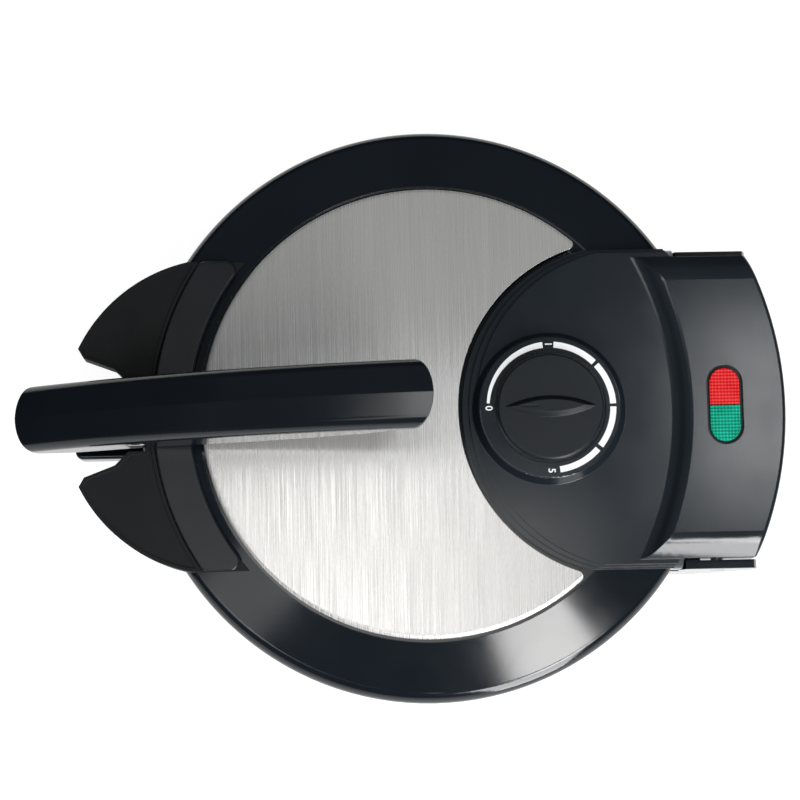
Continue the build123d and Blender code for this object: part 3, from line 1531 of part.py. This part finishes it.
with BuildPart() as handle_top_shell:
    add(crown_body(0, 0))
    add(crown_inside, mode=Mode.SUBTRACT)
    for screw_y in handle_screw_ys:
        with BuildSketch(level(seam_height(screw_y) - handle_post_radius)):
            with Locations((0, screw_y)):
                Circle(screw_radius + press_gap)
        extrude(amount=handle_post_radius + crown_rise - handle_wall, mode=Mode.SUBTRACT)
handle_top_shell.part.label = "handle_top_shell"
export_step(handle_top_shell.part, "parts/handle_top_shell.step")

with BuildPart() as handle_lower_shell:
    add(lower_body(0, 0))
    add(lower_inside, mode=Mode.SUBTRACT)
    # Slot for the bracket's lug, bores for the bushes, and sunk screw holes
    with BuildSketch(level(0)):
        with Locations((0, (slot_front_y + slot_rear_y) / 2)):
            Rectangle(2 * slot_half_width, slot_rear_y - slot_front_y)
    extrude(amount=pivot_z, mode=Mode.SUBTRACT)
    with BuildSketch(side(-handle_width)):
        with Locations((pivot_y, pivot_z)):
            Circle(bush_radius + press_gap)
    extrude(amount=2 * handle_width, mode=Mode.SUBTRACT)
    add(handle_posts(screw_radius + screw_gap), mode=Mode.SUBTRACT)
    for screw_y, seat in zip(handle_screw_ys, handle_screw_seats):
        with BuildSketch(level(seat)):
            with Locations((0, screw_y)):
                Circle(screw_head_radius + screw_gap)
        extrude(amount=-seat, mode=Mode.SUBTRACT)
handle_lower_shell.part.label = "handle_lower_shell"
export_step(handle_lower_shell.part, "parts/handle_lower_shell.step")

with BuildPart() as handle_screws:
    for screw_y, seat in zip(handle_screw_ys, handle_screw_seats):
        screw_length = seam_height(screw_y) + handle_screw_bite - seat
        add(screw_set([(0, screw_y)], seat - face_gap, screw_length, way=-1))
handle_screws.part.label = "handle_screws"
export_step(handle_screws.part, "parts/handle_screws.step")
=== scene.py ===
import json
import math

import bmesh
import bpy
from mathutils import Matrix, Vector


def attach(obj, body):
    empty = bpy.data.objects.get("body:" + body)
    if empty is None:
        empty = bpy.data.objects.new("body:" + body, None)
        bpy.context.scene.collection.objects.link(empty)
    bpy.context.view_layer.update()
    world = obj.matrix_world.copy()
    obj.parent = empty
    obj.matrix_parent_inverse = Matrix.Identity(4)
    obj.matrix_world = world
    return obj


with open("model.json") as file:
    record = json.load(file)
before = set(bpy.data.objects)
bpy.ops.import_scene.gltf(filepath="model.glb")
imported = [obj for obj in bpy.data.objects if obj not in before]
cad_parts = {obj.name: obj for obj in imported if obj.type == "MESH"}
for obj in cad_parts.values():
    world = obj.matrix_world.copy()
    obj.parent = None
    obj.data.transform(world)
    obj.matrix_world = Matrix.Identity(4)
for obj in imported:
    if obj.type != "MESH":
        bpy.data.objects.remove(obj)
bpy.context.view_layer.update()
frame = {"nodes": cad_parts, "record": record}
nodes = frame["nodes"]

# Camera: nearly overhead, leaning towards +X, with the handle at the picture's left
CAMERA_PLACE = (0.15463, -0.02796, 1.30452)
CAMERA_RIGHT = (0.02132, 0.99958, 0.01981)
CAMERA_UP = (-0.99135, 0.01857, 0.12992)
LENS_MM = 108.0
SENSOR_MM = 36.0

# Middle and top of the dial's boss, in metres
DIAL_Y = 0.0769
DIAL_TOP = 0.0815


# Node helpers

EDGE_DOT = 0.8  # of the two normals, where an edge begins to count as rubbed


def link(tree, source, target):
    tree.links.new(source, target)


def node(tree, kind, **values):
    """A new node, with each value put in the input of its name, or else in the setting."""
    made = tree.nodes.new(kind)
    for key, value in values.items():
        if key in made.inputs:
            made.inputs[key].default_value = value
        else:
            setattr(made, key, value)
    return made


def coordinates(tree, stretch=(1, 1, 1), shift=0.0):
    """The object's own coordinates, in metres, stretched for a directed grain."""
    place = node(tree, "ShaderNodeTexCoord")
    mapping = node(tree, "ShaderNodeMapping")
    mapping.inputs["Scale"].default_value = stretch
    mapping.inputs["Location"].default_value = (shift, shift * 0.7, shift * 1.3)
    link(tree, place.outputs["Object"], mapping.inputs["Vector"])
    return mapping.outputs["Vector"]


def noise(tree, scale, detail=3.0, rough=0.5, stretch=(1, 1, 1), shift=0.0):
    made = node(tree, "ShaderNodeTexNoise", Scale=scale, Detail=detail, Roughness=rough)
    link(tree, coordinates(tree, stretch, shift), made.inputs["Vector"])
    return made.outputs["Fac"]


def cells(tree, scale):
    made = node(tree, "ShaderNodeTexVoronoi", Scale=scale)
    link(tree, coordinates(tree), made.inputs["Vector"])
    return made.outputs["Distance"]


def ranged(tree, value, low, high, to_low, to_high):
    made = node(tree, "ShaderNodeMapRange")
    limits = {"From Min": low, "From Max": high, "To Min": to_low, "To Max": to_high}
    for name, number in limits.items():
        made.inputs[name].default_value = number
    link(tree, value, made.inputs["Value"])
    return made.outputs["Result"]


def blend_colour(tree, factor, first, second):
    made = node(tree, "ShaderNodeMix", data_type="RGBA")
    link(tree, factor, made.inputs["Factor"])
    for socket, colour in ((made.inputs[6], first), (made.inputs[7], second)):
        if isinstance(colour, tuple):
            socket.default_value = (*colour, 1.0)
        else:
            link(tree, colour, socket)
    return made.outputs[2]


def arithmetic(tree, operation, first, second=0.0):
    made = node(tree, "ShaderNodeMath", operation=operation)
    for socket, value in zip(made.inputs, (first, second)):
        if isinstance(value, (int, float)):
            socket.default_value = value
        else:
            link(tree, value, socket)
    return made.outputs[0]


def weighed(tree, first, first_share, second, second_share):
    """Sum of two values, each times its share."""
    left = arithmetic(tree, "MULTIPLY", first, first_share)
    right = arithmetic(tree, "MULTIPLY", second, second_share)
    return arithmetic(tree, "ADD", left, right)


def bumped(tree, height, distance, normal):
    made = node(tree, "ShaderNodeBump", Distance=distance, Strength=1.0)
    link(tree, height, made.inputs["Height"])
    link(tree, normal, made.inputs["Normal"])
    return made.outputs["Normal"]


def soft_edges(tree, radius):
    """Normal of a softly rounded edge, and a mask that is 1 along the edges."""
    rounded = node(tree, "ShaderNodeBevel", samples=4, Radius=radius)
    surface = node(tree, "ShaderNodeNewGeometry")
    dot = node(tree, "ShaderNodeVectorMath", operation="DOT_PRODUCT")
    link(tree, rounded.outputs["Normal"], dot.inputs[0])
    link(tree, surface.outputs["Normal"], dot.inputs[1])
    return rounded.outputs["Normal"], ranged(tree, dot.outputs["Value"], EDGE_DOT, 1.0, 1.0, 0.0)


def new_material(name, metallic=0.0, coat=0.0, specular=0.5):
    material = bpy.data.materials.new(name)
    material.use_nodes = True
    tree = material.node_tree
    shader = tree.nodes["Principled BSDF"]
    shader.inputs["Metallic"].default_value = metallic
    shader.inputs["Specular IOR Level"].default_value = specular
    shader.inputs["Coat Weight"].default_value = coat
    return material, tree, shader


def moulded(
    name, deep, pale, rough, grain_scale, grain_depth, edge=0.0004, coat=0.0, wear=0.3, specular=0.5
):
    """Moulded plastic: faint colour drift, uneven gloss, fine grain, soft and slightly rubbed edges."""
    material, tree, shader = new_material(name, coat=coat, specular=specular)
    normal, edges = soft_edges(tree, edge)
    drift = ranged(tree, noise(tree, 14.0, 4.0), 0.35, 0.65, 0.0, 1.0)
    patches = ranged(tree, noise(tree, 90.0, 5.0, shift=3.0), 0.4, 0.7, 0.0, wear)
    rubbed = arithmetic(tree, "MULTIPLY", edges, patches)
    colour = blend_colour(tree, drift, deep, pale)
    edge_colour = tuple(min(1.0, 2.2 * channel + 0.01) for channel in pale)
    link(tree, blend_colour(tree, rubbed, colour, edge_colour), shader.inputs["Base Color"])
    smudge = ranged(tree, noise(tree, 35.0, 6.0, 0.6, shift=7.0), 0.35, 0.7, rough[0], rough[1])
    duller = arithmetic(tree, "MULTIPLY", rubbed, 0.2)
    link(tree, arithmetic(tree, "ADD", smudge, duller), shader.inputs["Roughness"])
    grain = noise(tree, grain_scale, 2.0, 0.6, shift=1.0)
    link(tree, bumped(tree, grain, grain_depth, normal), shader.inputs["Normal"])
    return material


def metal(name, deep, pale, rough, stretch, scale, depth, edge=0.0003):
    """Metal with a directed grain."""
    material, tree, shader = new_material(name, metallic=1.0)
    normal, edges = soft_edges(tree, edge)
    streaks = noise(tree, scale, 4.0, 0.6, stretch)
    broad = noise(tree, 20.0, 3.0, shift=5.0)
    colour = blend_colour(tree, ranged(tree, streaks, 0.3, 0.7, 0.0, 1.0), deep, pale)
    bright_edges = arithmetic(tree, "MULTIPLY", edges, 0.3)
    colour = blend_colour(tree, bright_edges, colour, (0.85, 0.85, 0.86))
    link(tree, colour, shader.inputs["Base Color"])
    grain = weighed(tree, streaks, 0.7, broad, 0.3)
    link(tree, ranged(tree, grain, 0.3, 0.7, rough[0], rough[1]), shader.inputs["Roughness"])
    link(tree, bumped(tree, streaks, depth, normal), shader.inputs["Normal"])
    return material


BRUSHED_METALLIC = 0.55  # the rest scatters light evenly, as the brushed surface does
BRUSHED_STRETCH = 0.95   # of the highlight across the lines


def brushed_sheet(name, deep, pale, rough):
    """Steel sheet brushed along X: fine lines of uneven length that spread the light along Y."""
    material, tree, shader = new_material(name, metallic=BRUSHED_METALLIC)
    normal, edges = soft_edges(tree, 0.0003)
    fine = noise(tree, 1.0, 3.0, 0.7, (14.0, 2600.0, 14.0))
    broad = noise(tree, 1.0, 3.0, 0.5, (3.0, 260.0, 3.0), 4.0)
    lines = ranged(tree, weighed(tree, fine, 0.8, broad, 0.2), 0.35, 0.65, 0.0, 1.0)
    link(tree, blend_colour(tree, lines, deep, pale), shader.inputs["Base Color"])
    link(tree, ranged(tree, fine, 0.35, 0.65, rough[0], rough[1]), shader.inputs["Roughness"])
    shader.inputs["Anisotropic"].default_value = BRUSHED_STRETCH
    # The highlight is long along the tangent, which is made to lie across the lines
    surface = node(tree, "ShaderNodeNewGeometry")
    across = node(tree, "ShaderNodeVectorMath", operation="CROSS_PRODUCT")
    across.inputs[1].default_value = (1.0, 0.0, 0.0)
    link(tree, surface.outputs["Normal"], across.inputs[0])
    link(tree, across.outputs["Vector"], shader.inputs["Tangent"])
    link(tree, bumped(tree, fine, 0.000004, normal), shader.inputs["Normal"])
    return material


LENS_PITCH = 0.0024  # of the pressed diamonds, in metres


def lens(name, deep, pale):
    """Tinted clear plastic with a fine pressed diamond pattern."""
    material, tree, shader = new_material(name, specular=0.15)
    place = node(tree, "ShaderNodeSeparateXYZ")
    link(tree, coordinates(tree), place.inputs["Vector"])
    waves = []
    for way in ("ADD", "SUBTRACT"):
        diagonal = arithmetic(tree, way, place.outputs["X"], place.outputs["Y"])
        phase = arithmetic(tree, "MULTIPLY", diagonal, math.sqrt(2) * math.pi / LENS_PITCH)
        waves.append(arithmetic(tree, "SINE", phase))
    diamonds = arithmetic(tree, "MULTIPLY", waves[0], waves[1])
    glow = ranged(tree, noise(tree, 120.0, 2.0), 0.35, 0.65, 0.0, 0.25)
    facets = arithmetic(tree, "ADD", ranged(tree, diamonds, -0.2, 1.0, 0.0, 0.75), glow)
    link(tree, blend_colour(tree, facets, deep, pale), shader.inputs["Base Color"])
    link(tree, ranged(tree, noise(tree, 400.0, 2.0), 0.3, 0.7, 0.3, 0.42), shader.inputs["Roughness"])
    normal, _ = soft_edges(tree, 0.0004)
    link(tree, bumped(tree, diamonds, 0.0002, normal), shader.inputs["Normal"])
    return material


def speckled(name, deep, pale, rough):
    """Non-stick coating: fine pale flecks over a dark satin film."""
    material, tree, shader = new_material(name)
    flecks = ranged(tree, cells(tree, 900.0), 0.0, 0.22, 1.0, 0.0)
    clusters = ranged(tree, noise(tree, 300.0, 2.0), 0.5, 0.6, 0.0, 1.0)
    scattered = arithmetic(tree, "MULTIPLY", flecks, clusters)
    link(tree, blend_colour(tree, scattered, deep, pale), shader.inputs["Base Color"])
    smudge = ranged(tree, noise(tree, 60.0, 5.0), 0.3, 0.7, rough[0], rough[1])
    link(tree, smudge, shader.inputs["Roughness"])
    normal, _ = soft_edges(tree, 0.0006)
    link(tree, bumped(tree, noise(tree, 1600.0, 3.0), 0.00004, normal), shader.inputs["Normal"])
    return material


# Materials by the record's slots. Colours are deep and pale, in linear light. Moulded plastic has
# its least and most roughness, then how many grains fit in a metre, and the grain's depth.
PLASTICS = {
    "body_black": ((0.003, 0.0052, 0.0078), (0.0045, 0.0072, 0.0105), (0.09, 0.13), 1300.0, 0.000004),
    "panel_black": (
        (0.0075, 0.0108, 0.0142), (0.0095, 0.0132, 0.0172),
        (0.12, 0.16), 1800.0, 0.000006,
    ),
    "handle_black": (
        (0.0036, 0.0055, 0.008), (0.0052, 0.0075, 0.0105),
        (0.13, 0.18), 1300.0, 0.000006, 0.0006,
    ),
    "satin_black": ((0.005, 0.0068, 0.0095), (0.0068, 0.0088, 0.012), (0.28, 0.35), 2200.0, 0.000015),
    "guard_black": ((0.0022, 0.0027, 0.0036), (0.0038, 0.0045, 0.0057), (0.55, 0.68), 1500.0, 0.0001),
    "matte_black": ((0.008, 0.0085, 0.01), (0.012, 0.0125, 0.0145), (0.5, 0.62), 1500.0, 0.00008),
    "knob_black": ((0.0055, 0.0078, 0.0105), (0.0072, 0.0098, 0.013), (0.27, 0.33), 2200.0, 0.000012),
    "foot_rubber": ((0.018, 0.018, 0.018), (0.03, 0.029, 0.028), (0.7, 0.85), 900.0, 0.0001),
    "white_insulator": ((0.66, 0.64, 0.58), (0.76, 0.75, 0.7), (0.45, 0.6), 1200.0, 0.00004),
    "bush_plastic": ((0.62, 0.6, 0.54), (0.72, 0.7, 0.65), (0.35, 0.45), 1200.0, 0.00002),
    "thermostat_case": ((0.13, 0.075, 0.035), (0.2, 0.12, 0.06), (0.4, 0.55), 900.0, 0.00006),
    "lamp_glass": ((0.7, 0.62, 0.5), (0.85, 0.8, 0.72), (0.05, 0.12), 400.0, 0.00001),
}
PLASTIC_TRAITS = {
    "satin_black": {"specular": 0.3},
    "guard_black": {"specular": 0.25},
    "knob_black": {"specular": 0.25},
    "foot_rubber": {"wear": 0.6},
    "lamp_glass": {"coat": 0.5},
}
# Grain of the metals: stretch of its noise, its scale, and its depth in metres
METALS = {
    "screw_steel": ((0.45, 0.45, 0.46), (0.62, 0.62, 0.63), (0.28, 0.45), (1, 1, 1), 900.0, 0.00002),
    "pin_steel": (
        (0.5, 0.5, 0.51), (0.66, 0.66, 0.67),
        (0.2, 0.32), (1500.0, 20.0, 20.0), 1.0, 0.00001,
    ),
    "element_steel": ((0.16, 0.14, 0.12), (0.3, 0.27, 0.24), (0.4, 0.6), (1, 1, 1), 300.0, 0.00004),
    "reflector_aluminium": (
        (0.62, 0.62, 0.63), (0.78, 0.78, 0.79),
        (0.25, 0.4), (1, 1, 1), 120.0, 0.00003,
    ),
    "nut_brass": ((0.42, 0.3, 0.1), (0.62, 0.46, 0.2), (0.25, 0.4), (1, 1, 1), 500.0, 0.00002),
}

MATERIALS = {}
for slot_name, values in PLASTICS.items():
    MATERIALS[slot_name] = moulded(slot_name, *values, **PLASTIC_TRAITS.get(slot_name, {}))
for slot_name, values in METALS.items():
    MATERIALS[slot_name] = metal(slot_name, *values)
MATERIALS["cover_steel"] = brushed_sheet(
    "cover_steel", (0.51, 0.506, 0.5), (0.61, 0.605, 0.595), (0.13, 0.38)
)
MATERIALS["nonstick_plate"] = speckled(
    "nonstick_plate", (0.012, 0.012, 0.013), (0.12, 0.12, 0.125), (0.32, 0.45)
)
MATERIALS["lens_red"] = lens("lens_red", (0.5, 0.006, 0.01), (0.84, 0.05, 0.05))
MATERIALS["lens_green"] = lens("lens_green", (0.0, 0.17, 0.1), (0.005, 0.48, 0.32))

slots = {row["node"]: row["material_slot"] for row in frame["record"]["subparts"]}
for name, obj in nodes.items():
    for index in range(len(obj.material_slots)):
        obj.material_slots[index].material = MATERIALS[slots[name]]


# Print on the dial

def print_material():
    material, tree, shader = new_material("dial_print")
    speck = ranged(tree, noise(tree, 2500.0, 3.0), 0.35, 0.6, 0.0, 1.0)
    ink = blend_colour(tree, speck, (0.72, 0.73, 0.74), (0.86, 0.87, 0.88))
    link(tree, ink, shader.inputs["Base Color"])
    link(tree, ranged(tree, noise(tree, 200.0), 0.3, 0.7, 0.4, 0.55), shader.inputs["Roughness"])
    return material


PRINT = print_material()
PRINT_THICK = 0.00006
NUMBER_SIZE = 0.0052
NUMBER_BOLDNESS = 0.012


def place_piece(name, mesh, material, body):
    """Puts a mesh in the scene at the origin, riding on a body."""
    mesh.materials.append(material)
    obj = bpy.data.objects.new(name, mesh)
    bpy.context.scene.collection.objects.link(obj)
    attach(obj, body)


def dial_point(turn, radius, height):
    """A place on the dial: the turn is counted in degrees from -X towards +Y."""
    angle = math.radians(turn)
    return Vector((-radius * math.cos(angle), DIAL_Y + radius * math.sin(angle), height))


# Each arc: first and last turn in degrees, then its inner and outer radius at the first turn.
# The first arc widens from the zero to the first number.
ARC_INNER = 0.03095
ARC_OUTER = 0.0341
ARC_STEP = 1.5
ARCS = [
    (-85.4, -5.4, 0.03125, 0.0327),
    (4.6, 45.3, ARC_INNER, ARC_OUTER),
    (48.6, 87.6, ARC_INNER, ARC_OUTER),
    (90.4, 128.9, ARC_INNER, ARC_OUTER),
    (132.6, 172.6, ARC_INNER, ARC_OUTER),
]


def arc_section(form, turn, inner, outer):
    """Four corners of an arc's cross-section: inner and outer, low and then high."""
    return [
        form.verts.new(dial_point(turn, radius, DIAL_TOP + rise))
        for rise in (0.0, PRINT_THICK)
        for radius in (inner, outer)
    ]


def scale_arcs():
    """Printed ring of arcs round the dial, each narrowing or widening to the common width."""
    form = bmesh.new()
    for first, last, first_inner, first_outer in ARCS:
        steps = max(8, int((last - first) / ARC_STEP))
        rows = []
        for step in range(steps + 1):
            part = step / steps
            inner = first_inner + (ARC_INNER - first_inner) * part
            outer = first_outer + (ARC_OUTER - first_outer) * part
            rows.append(arc_section(form, first + (last - first) * part, inner, outer))
        for before, after in zip(rows, rows[1:]):
            form.faces.new((before[2], before[3], after[3], after[2]))
            form.faces.new((before[1], after[1], after[3], before[3]))
            form.faces.new((before[0], before[2], after[2], after[0]))
            form.faces.new((before[0], after[0], after[1], before[1]))
        for end in (rows[0], rows[-1]):
            form.faces.new((end[0], end[1], end[3], end[2]))
    bmesh.ops.recalc_face_normals(form, faces=form.faces)
    mesh = bpy.data.meshes.new("dial_scale")
    form.to_mesh(mesh)
    form.free()
    place_piece("dial_scale", mesh, PRINT, "lid")


def dial_number(text, turn, radius):
    """A plain number on the dial."""
    curve = bpy.data.curves.new("number_" + text, "FONT")
    curve.body = text
    curve.size = NUMBER_SIZE
    curve.align_x = "CENTER"
    curve.align_y = "CENTER"
    curve.extrude = PRINT_THICK / 2
    curve.offset = NUMBER_SIZE * NUMBER_BOLDNESS
    source = bpy.data.objects.new("number_source_" + text, curve)
    bpy.context.scene.collection.objects.link(source)
    bpy.context.view_layer.update()
    evaluated = source.evaluated_get(bpy.context.evaluated_depsgraph_get())
    mesh = bpy.data.meshes.new_from_object(evaluated)
    bpy.data.objects.remove(source)
    centre = dial_point(turn, radius, DIAL_TOP + PRINT_THICK / 2)
    low = Vector(min(v.co[i] for v in mesh.vertices) for i in range(3))
    high = Vector(max(v.co[i] for v in mesh.vertices) for i in range(3))
    mesh.transform(Matrix.Translation(centre) @ Matrix.Translation(-(low + high) / 2))
    mesh.name = "dial_number_" + text
    place_piece("dial_number_" + text, mesh, PRINT, "lid")


scale_arcs()
dial_number("0", -90.0, 0.0315)
dial_number("1", 0.0, 0.0328)
dial_number("5", 180.0, 0.0328)


# Studio: floor, dark cards, lamps, world

def ray_mask(tree):
    """1 for rays from the camera, and for mirrored and refracted ones."""
    path = node(tree, "ShaderNodeLightPath")
    glossy = path.outputs["Is Glossy Ray"]
    either = arithmetic(tree, "MAXIMUM", glossy, path.outputs["Is Transmission Ray"])
    return arithmetic(tree, "MAXIMUM", path.outputs["Is Camera Ray"], either)


def make_floor():
    """Pale floor: it shines plain white, and its darker matt part takes the shadow."""
    material = bpy.data.materials.new("studio_floor")
    material.use_nodes = True
    tree = material.node_tree
    tree.nodes.clear()
    output = node(tree, "ShaderNodeOutputMaterial")
    dark = node(tree, "ShaderNodeBsdfDiffuse", Color=(0.3, 0.3, 0.3, 1.0))
    glow = node(tree, "ShaderNodeEmission")
    reach = node(tree, "ShaderNodeVectorMath", operation="LENGTH")
    link(tree, coordinates(tree), reach.inputs[0])
    white = ranged(tree, reach.outputs["Value"], FLOOR_NEAR, FLOOR_FAR, FLOOR_NEAR_GLOW, 1.0)
    link(tree, arithmetic(tree, "MULTIPLY", white, ray_mask(tree)), glow.inputs["Strength"])
    both = node(tree, "ShaderNodeAddShader")
    link(tree, dark.outputs[0], both.inputs[0])
    link(tree, glow.outputs[0], both.inputs[1])
    link(tree, both.outputs[0], output.inputs["Surface"])
    form = bmesh.new()
    bmesh.ops.create_circle(form, cap_ends=True, segments=96, radius=STUDIO_RADIUS)
    mesh = bpy.data.meshes.new("studio_floor")
    form.to_mesh(mesh)
    form.free()
    mesh.materials.append(material)
    floor = bpy.data.objects.new("studio_floor", mesh)
    floor.location = (0.0, 0.0, -FLOOR_GAP)
    bpy.context.scene.collection.objects.link(floor)


def dark_card(name, form, glow_strength):
    """Card that only mirrored rays meet, so that black gloss looks black."""
    material = bpy.data.materials.new(name)
    material.use_nodes = True
    tree = material.node_tree
    tree.nodes.clear()
    output = node(tree, "ShaderNodeOutputMaterial")
    glow = node(tree, "ShaderNodeEmission", Color=(0.85, 0.93, 1.0, 1.0), Strength=glow_strength)
    link(tree, glow.outputs[0], output.inputs["Surface"])
    mesh = bpy.data.meshes.new(name)
    form.to_mesh(mesh)
    form.free()
    mesh.materials.append(material)
    card = bpy.data.objects.new(name, mesh)
    card.visible_camera = False
    card.visible_diffuse = False
    card.visible_shadow = False
    bpy.context.scene.collection.objects.link(card)


def make_ceiling():
    """Wide card over the lamps."""
    form = bmesh.new()
    lift = Matrix.Translation((0.0, 0.0, CARD_HEIGHT))
    bmesh.ops.create_circle(form, cap_ends=True, segments=64, radius=STUDIO_RADIUS, matrix=lift)
    dark_card("studio_ceiling", form, CEILING_GLOW)


def make_curtain():
    """Upright dark card bent round the -X side, from the floor to the ceiling."""
    form = bmesh.new()
    rows = []
    for step in range(CURTAIN_STEPS + 1):
        angle = math.radians(CURTAIN_FROM + (CURTAIN_TO - CURTAIN_FROM) * step / CURTAIN_STEPS)
        x, y = CURTAIN_RADIUS * math.cos(angle), CURTAIN_RADIUS * math.sin(angle)
        rows.append((form.verts.new((x, y, 0.0)), form.verts.new((x, y, CARD_HEIGHT))))
    for before, after in zip(rows, rows[1:]):
        form.faces.new((before[0], after[0], after[1], before[1]))
    dark_card("studio_curtain", form, CURTAIN_GLOW)


def lamp(name, place, target, size, radiance, colour):
    """Area lamp whose face has the radiance."""
    data = bpy.data.lights.new(name, "AREA")
    data.shape = "RECTANGLE"
    data.size, data.size_y = size
    data.energy = radiance * math.pi * size[0] * size[1]
    data.color = colour
    obj = bpy.data.objects.new(name, data)
    obj.location = place
    obj.rotation_mode = "QUATERNION"
    obj.rotation_quaternion = (Vector(target) - Vector(place)).to_track_quat("-Z", "Y")
    bpy.context.scene.collection.objects.link(obj)


def make_world():
    """Plain white for the camera and in mirrors, and a weaker even light on the part."""
    world = bpy.data.worlds.new("studio")
    bpy.context.scene.world = world
    world.use_nodes = True
    tree = world.node_tree
    sky = tree.nodes["Background"]
    sky.inputs["Color"].default_value = (1.0, 1.0, 1.0, 1.0)
    link(tree, ranged(tree, ray_mask(tree), 0.0, 1.0, WORLD_LIGHT, 1.0), sky.inputs["Strength"])


STUDIO_RADIUS = 6.0
FLOOR_GAP = 0.0002     # under the part's feet
FLOOR_NEAR = 0.35      # radius round the part where the floor starts to get whiter
FLOOR_FAR = 1.2        # radius from where it is plain white
FLOOR_NEAR_GLOW = 0.88
CARD_HEIGHT = 2.1
CEILING_GLOW = 0.12
CURTAIN_RADIUS = 2.3
CURTAIN_FROM = 62.0    # degrees from +X towards +Y
CURTAIN_TO = 300.0
CURTAIN_STEPS = 48
CURTAIN_GLOW = 0.04
WORLD_LIGHT = 0.35

# Lamps: place, target, size, radiance and colour
WARM = (1.0, 0.99, 0.97)
NEAR_WHITE = (1.0, 0.99, 0.98)
COOL = (0.97, 0.98, 1.0)
WHITE = (1.0, 1.0, 1.0)
LAMPS = {
    "ring_key": ((0.73, 0.57, 1.9), (0.12, 0.07, 0.07), (0.33, 0.44), 17.0, NEAR_WHITE),
    "rear_panel": ((-0.2175, 0.585, 1.9), (-0.2175, 0.585, 0.0), (0.255, 0.33), 6.2, COOL),
    "side_strip": ((1.116, 0.527, 0.77), (0.08, 0.15, 0.08), (0.45, 1.62), 12.0, WHITE),
    "overhead_front": ((0.175, -0.275, 1.9), (0.175, -0.275, 0.0), (0.55, 0.45), 3.6, WARM),
    "overhead_rear": ((0.165, 0.115, 1.9), (0.165, 0.115, 0.0), (0.56, 0.33), 2.4, WARM),
    "front_panel": ((0.43, -0.62, 1.9), (0.1, -0.08, 0.07), (0.3, 0.45), 1.6, WHITE),
}

make_floor()
make_ceiling()
make_curtain()
make_world()
for lamp_name, lamp_values in LAMPS.items():
    lamp(lamp_name, *lamp_values)

camera_data = bpy.data.cameras.new("camera")
camera_data.lens = LENS_MM
camera_data.sensor_width = SENSOR_MM
camera_data.clip_start = 0.1
camera_data.clip_end = 30.0
camera = bpy.data.objects.new("camera", camera_data)
bpy.context.scene.collection.objects.link(camera)
bpy.context.scene.camera = camera
right = Vector(CAMERA_RIGHT).normalized()
back = right.cross(Vector(CAMERA_UP)).normalized()
up = back.cross(right)
turn = Matrix((right, up, back)).transposed()
camera.matrix_world = Matrix.Translation(CAMERA_PLACE) @ turn.to_4x4()

bpy.context.scene.view_settings.view_transform = "Standard"
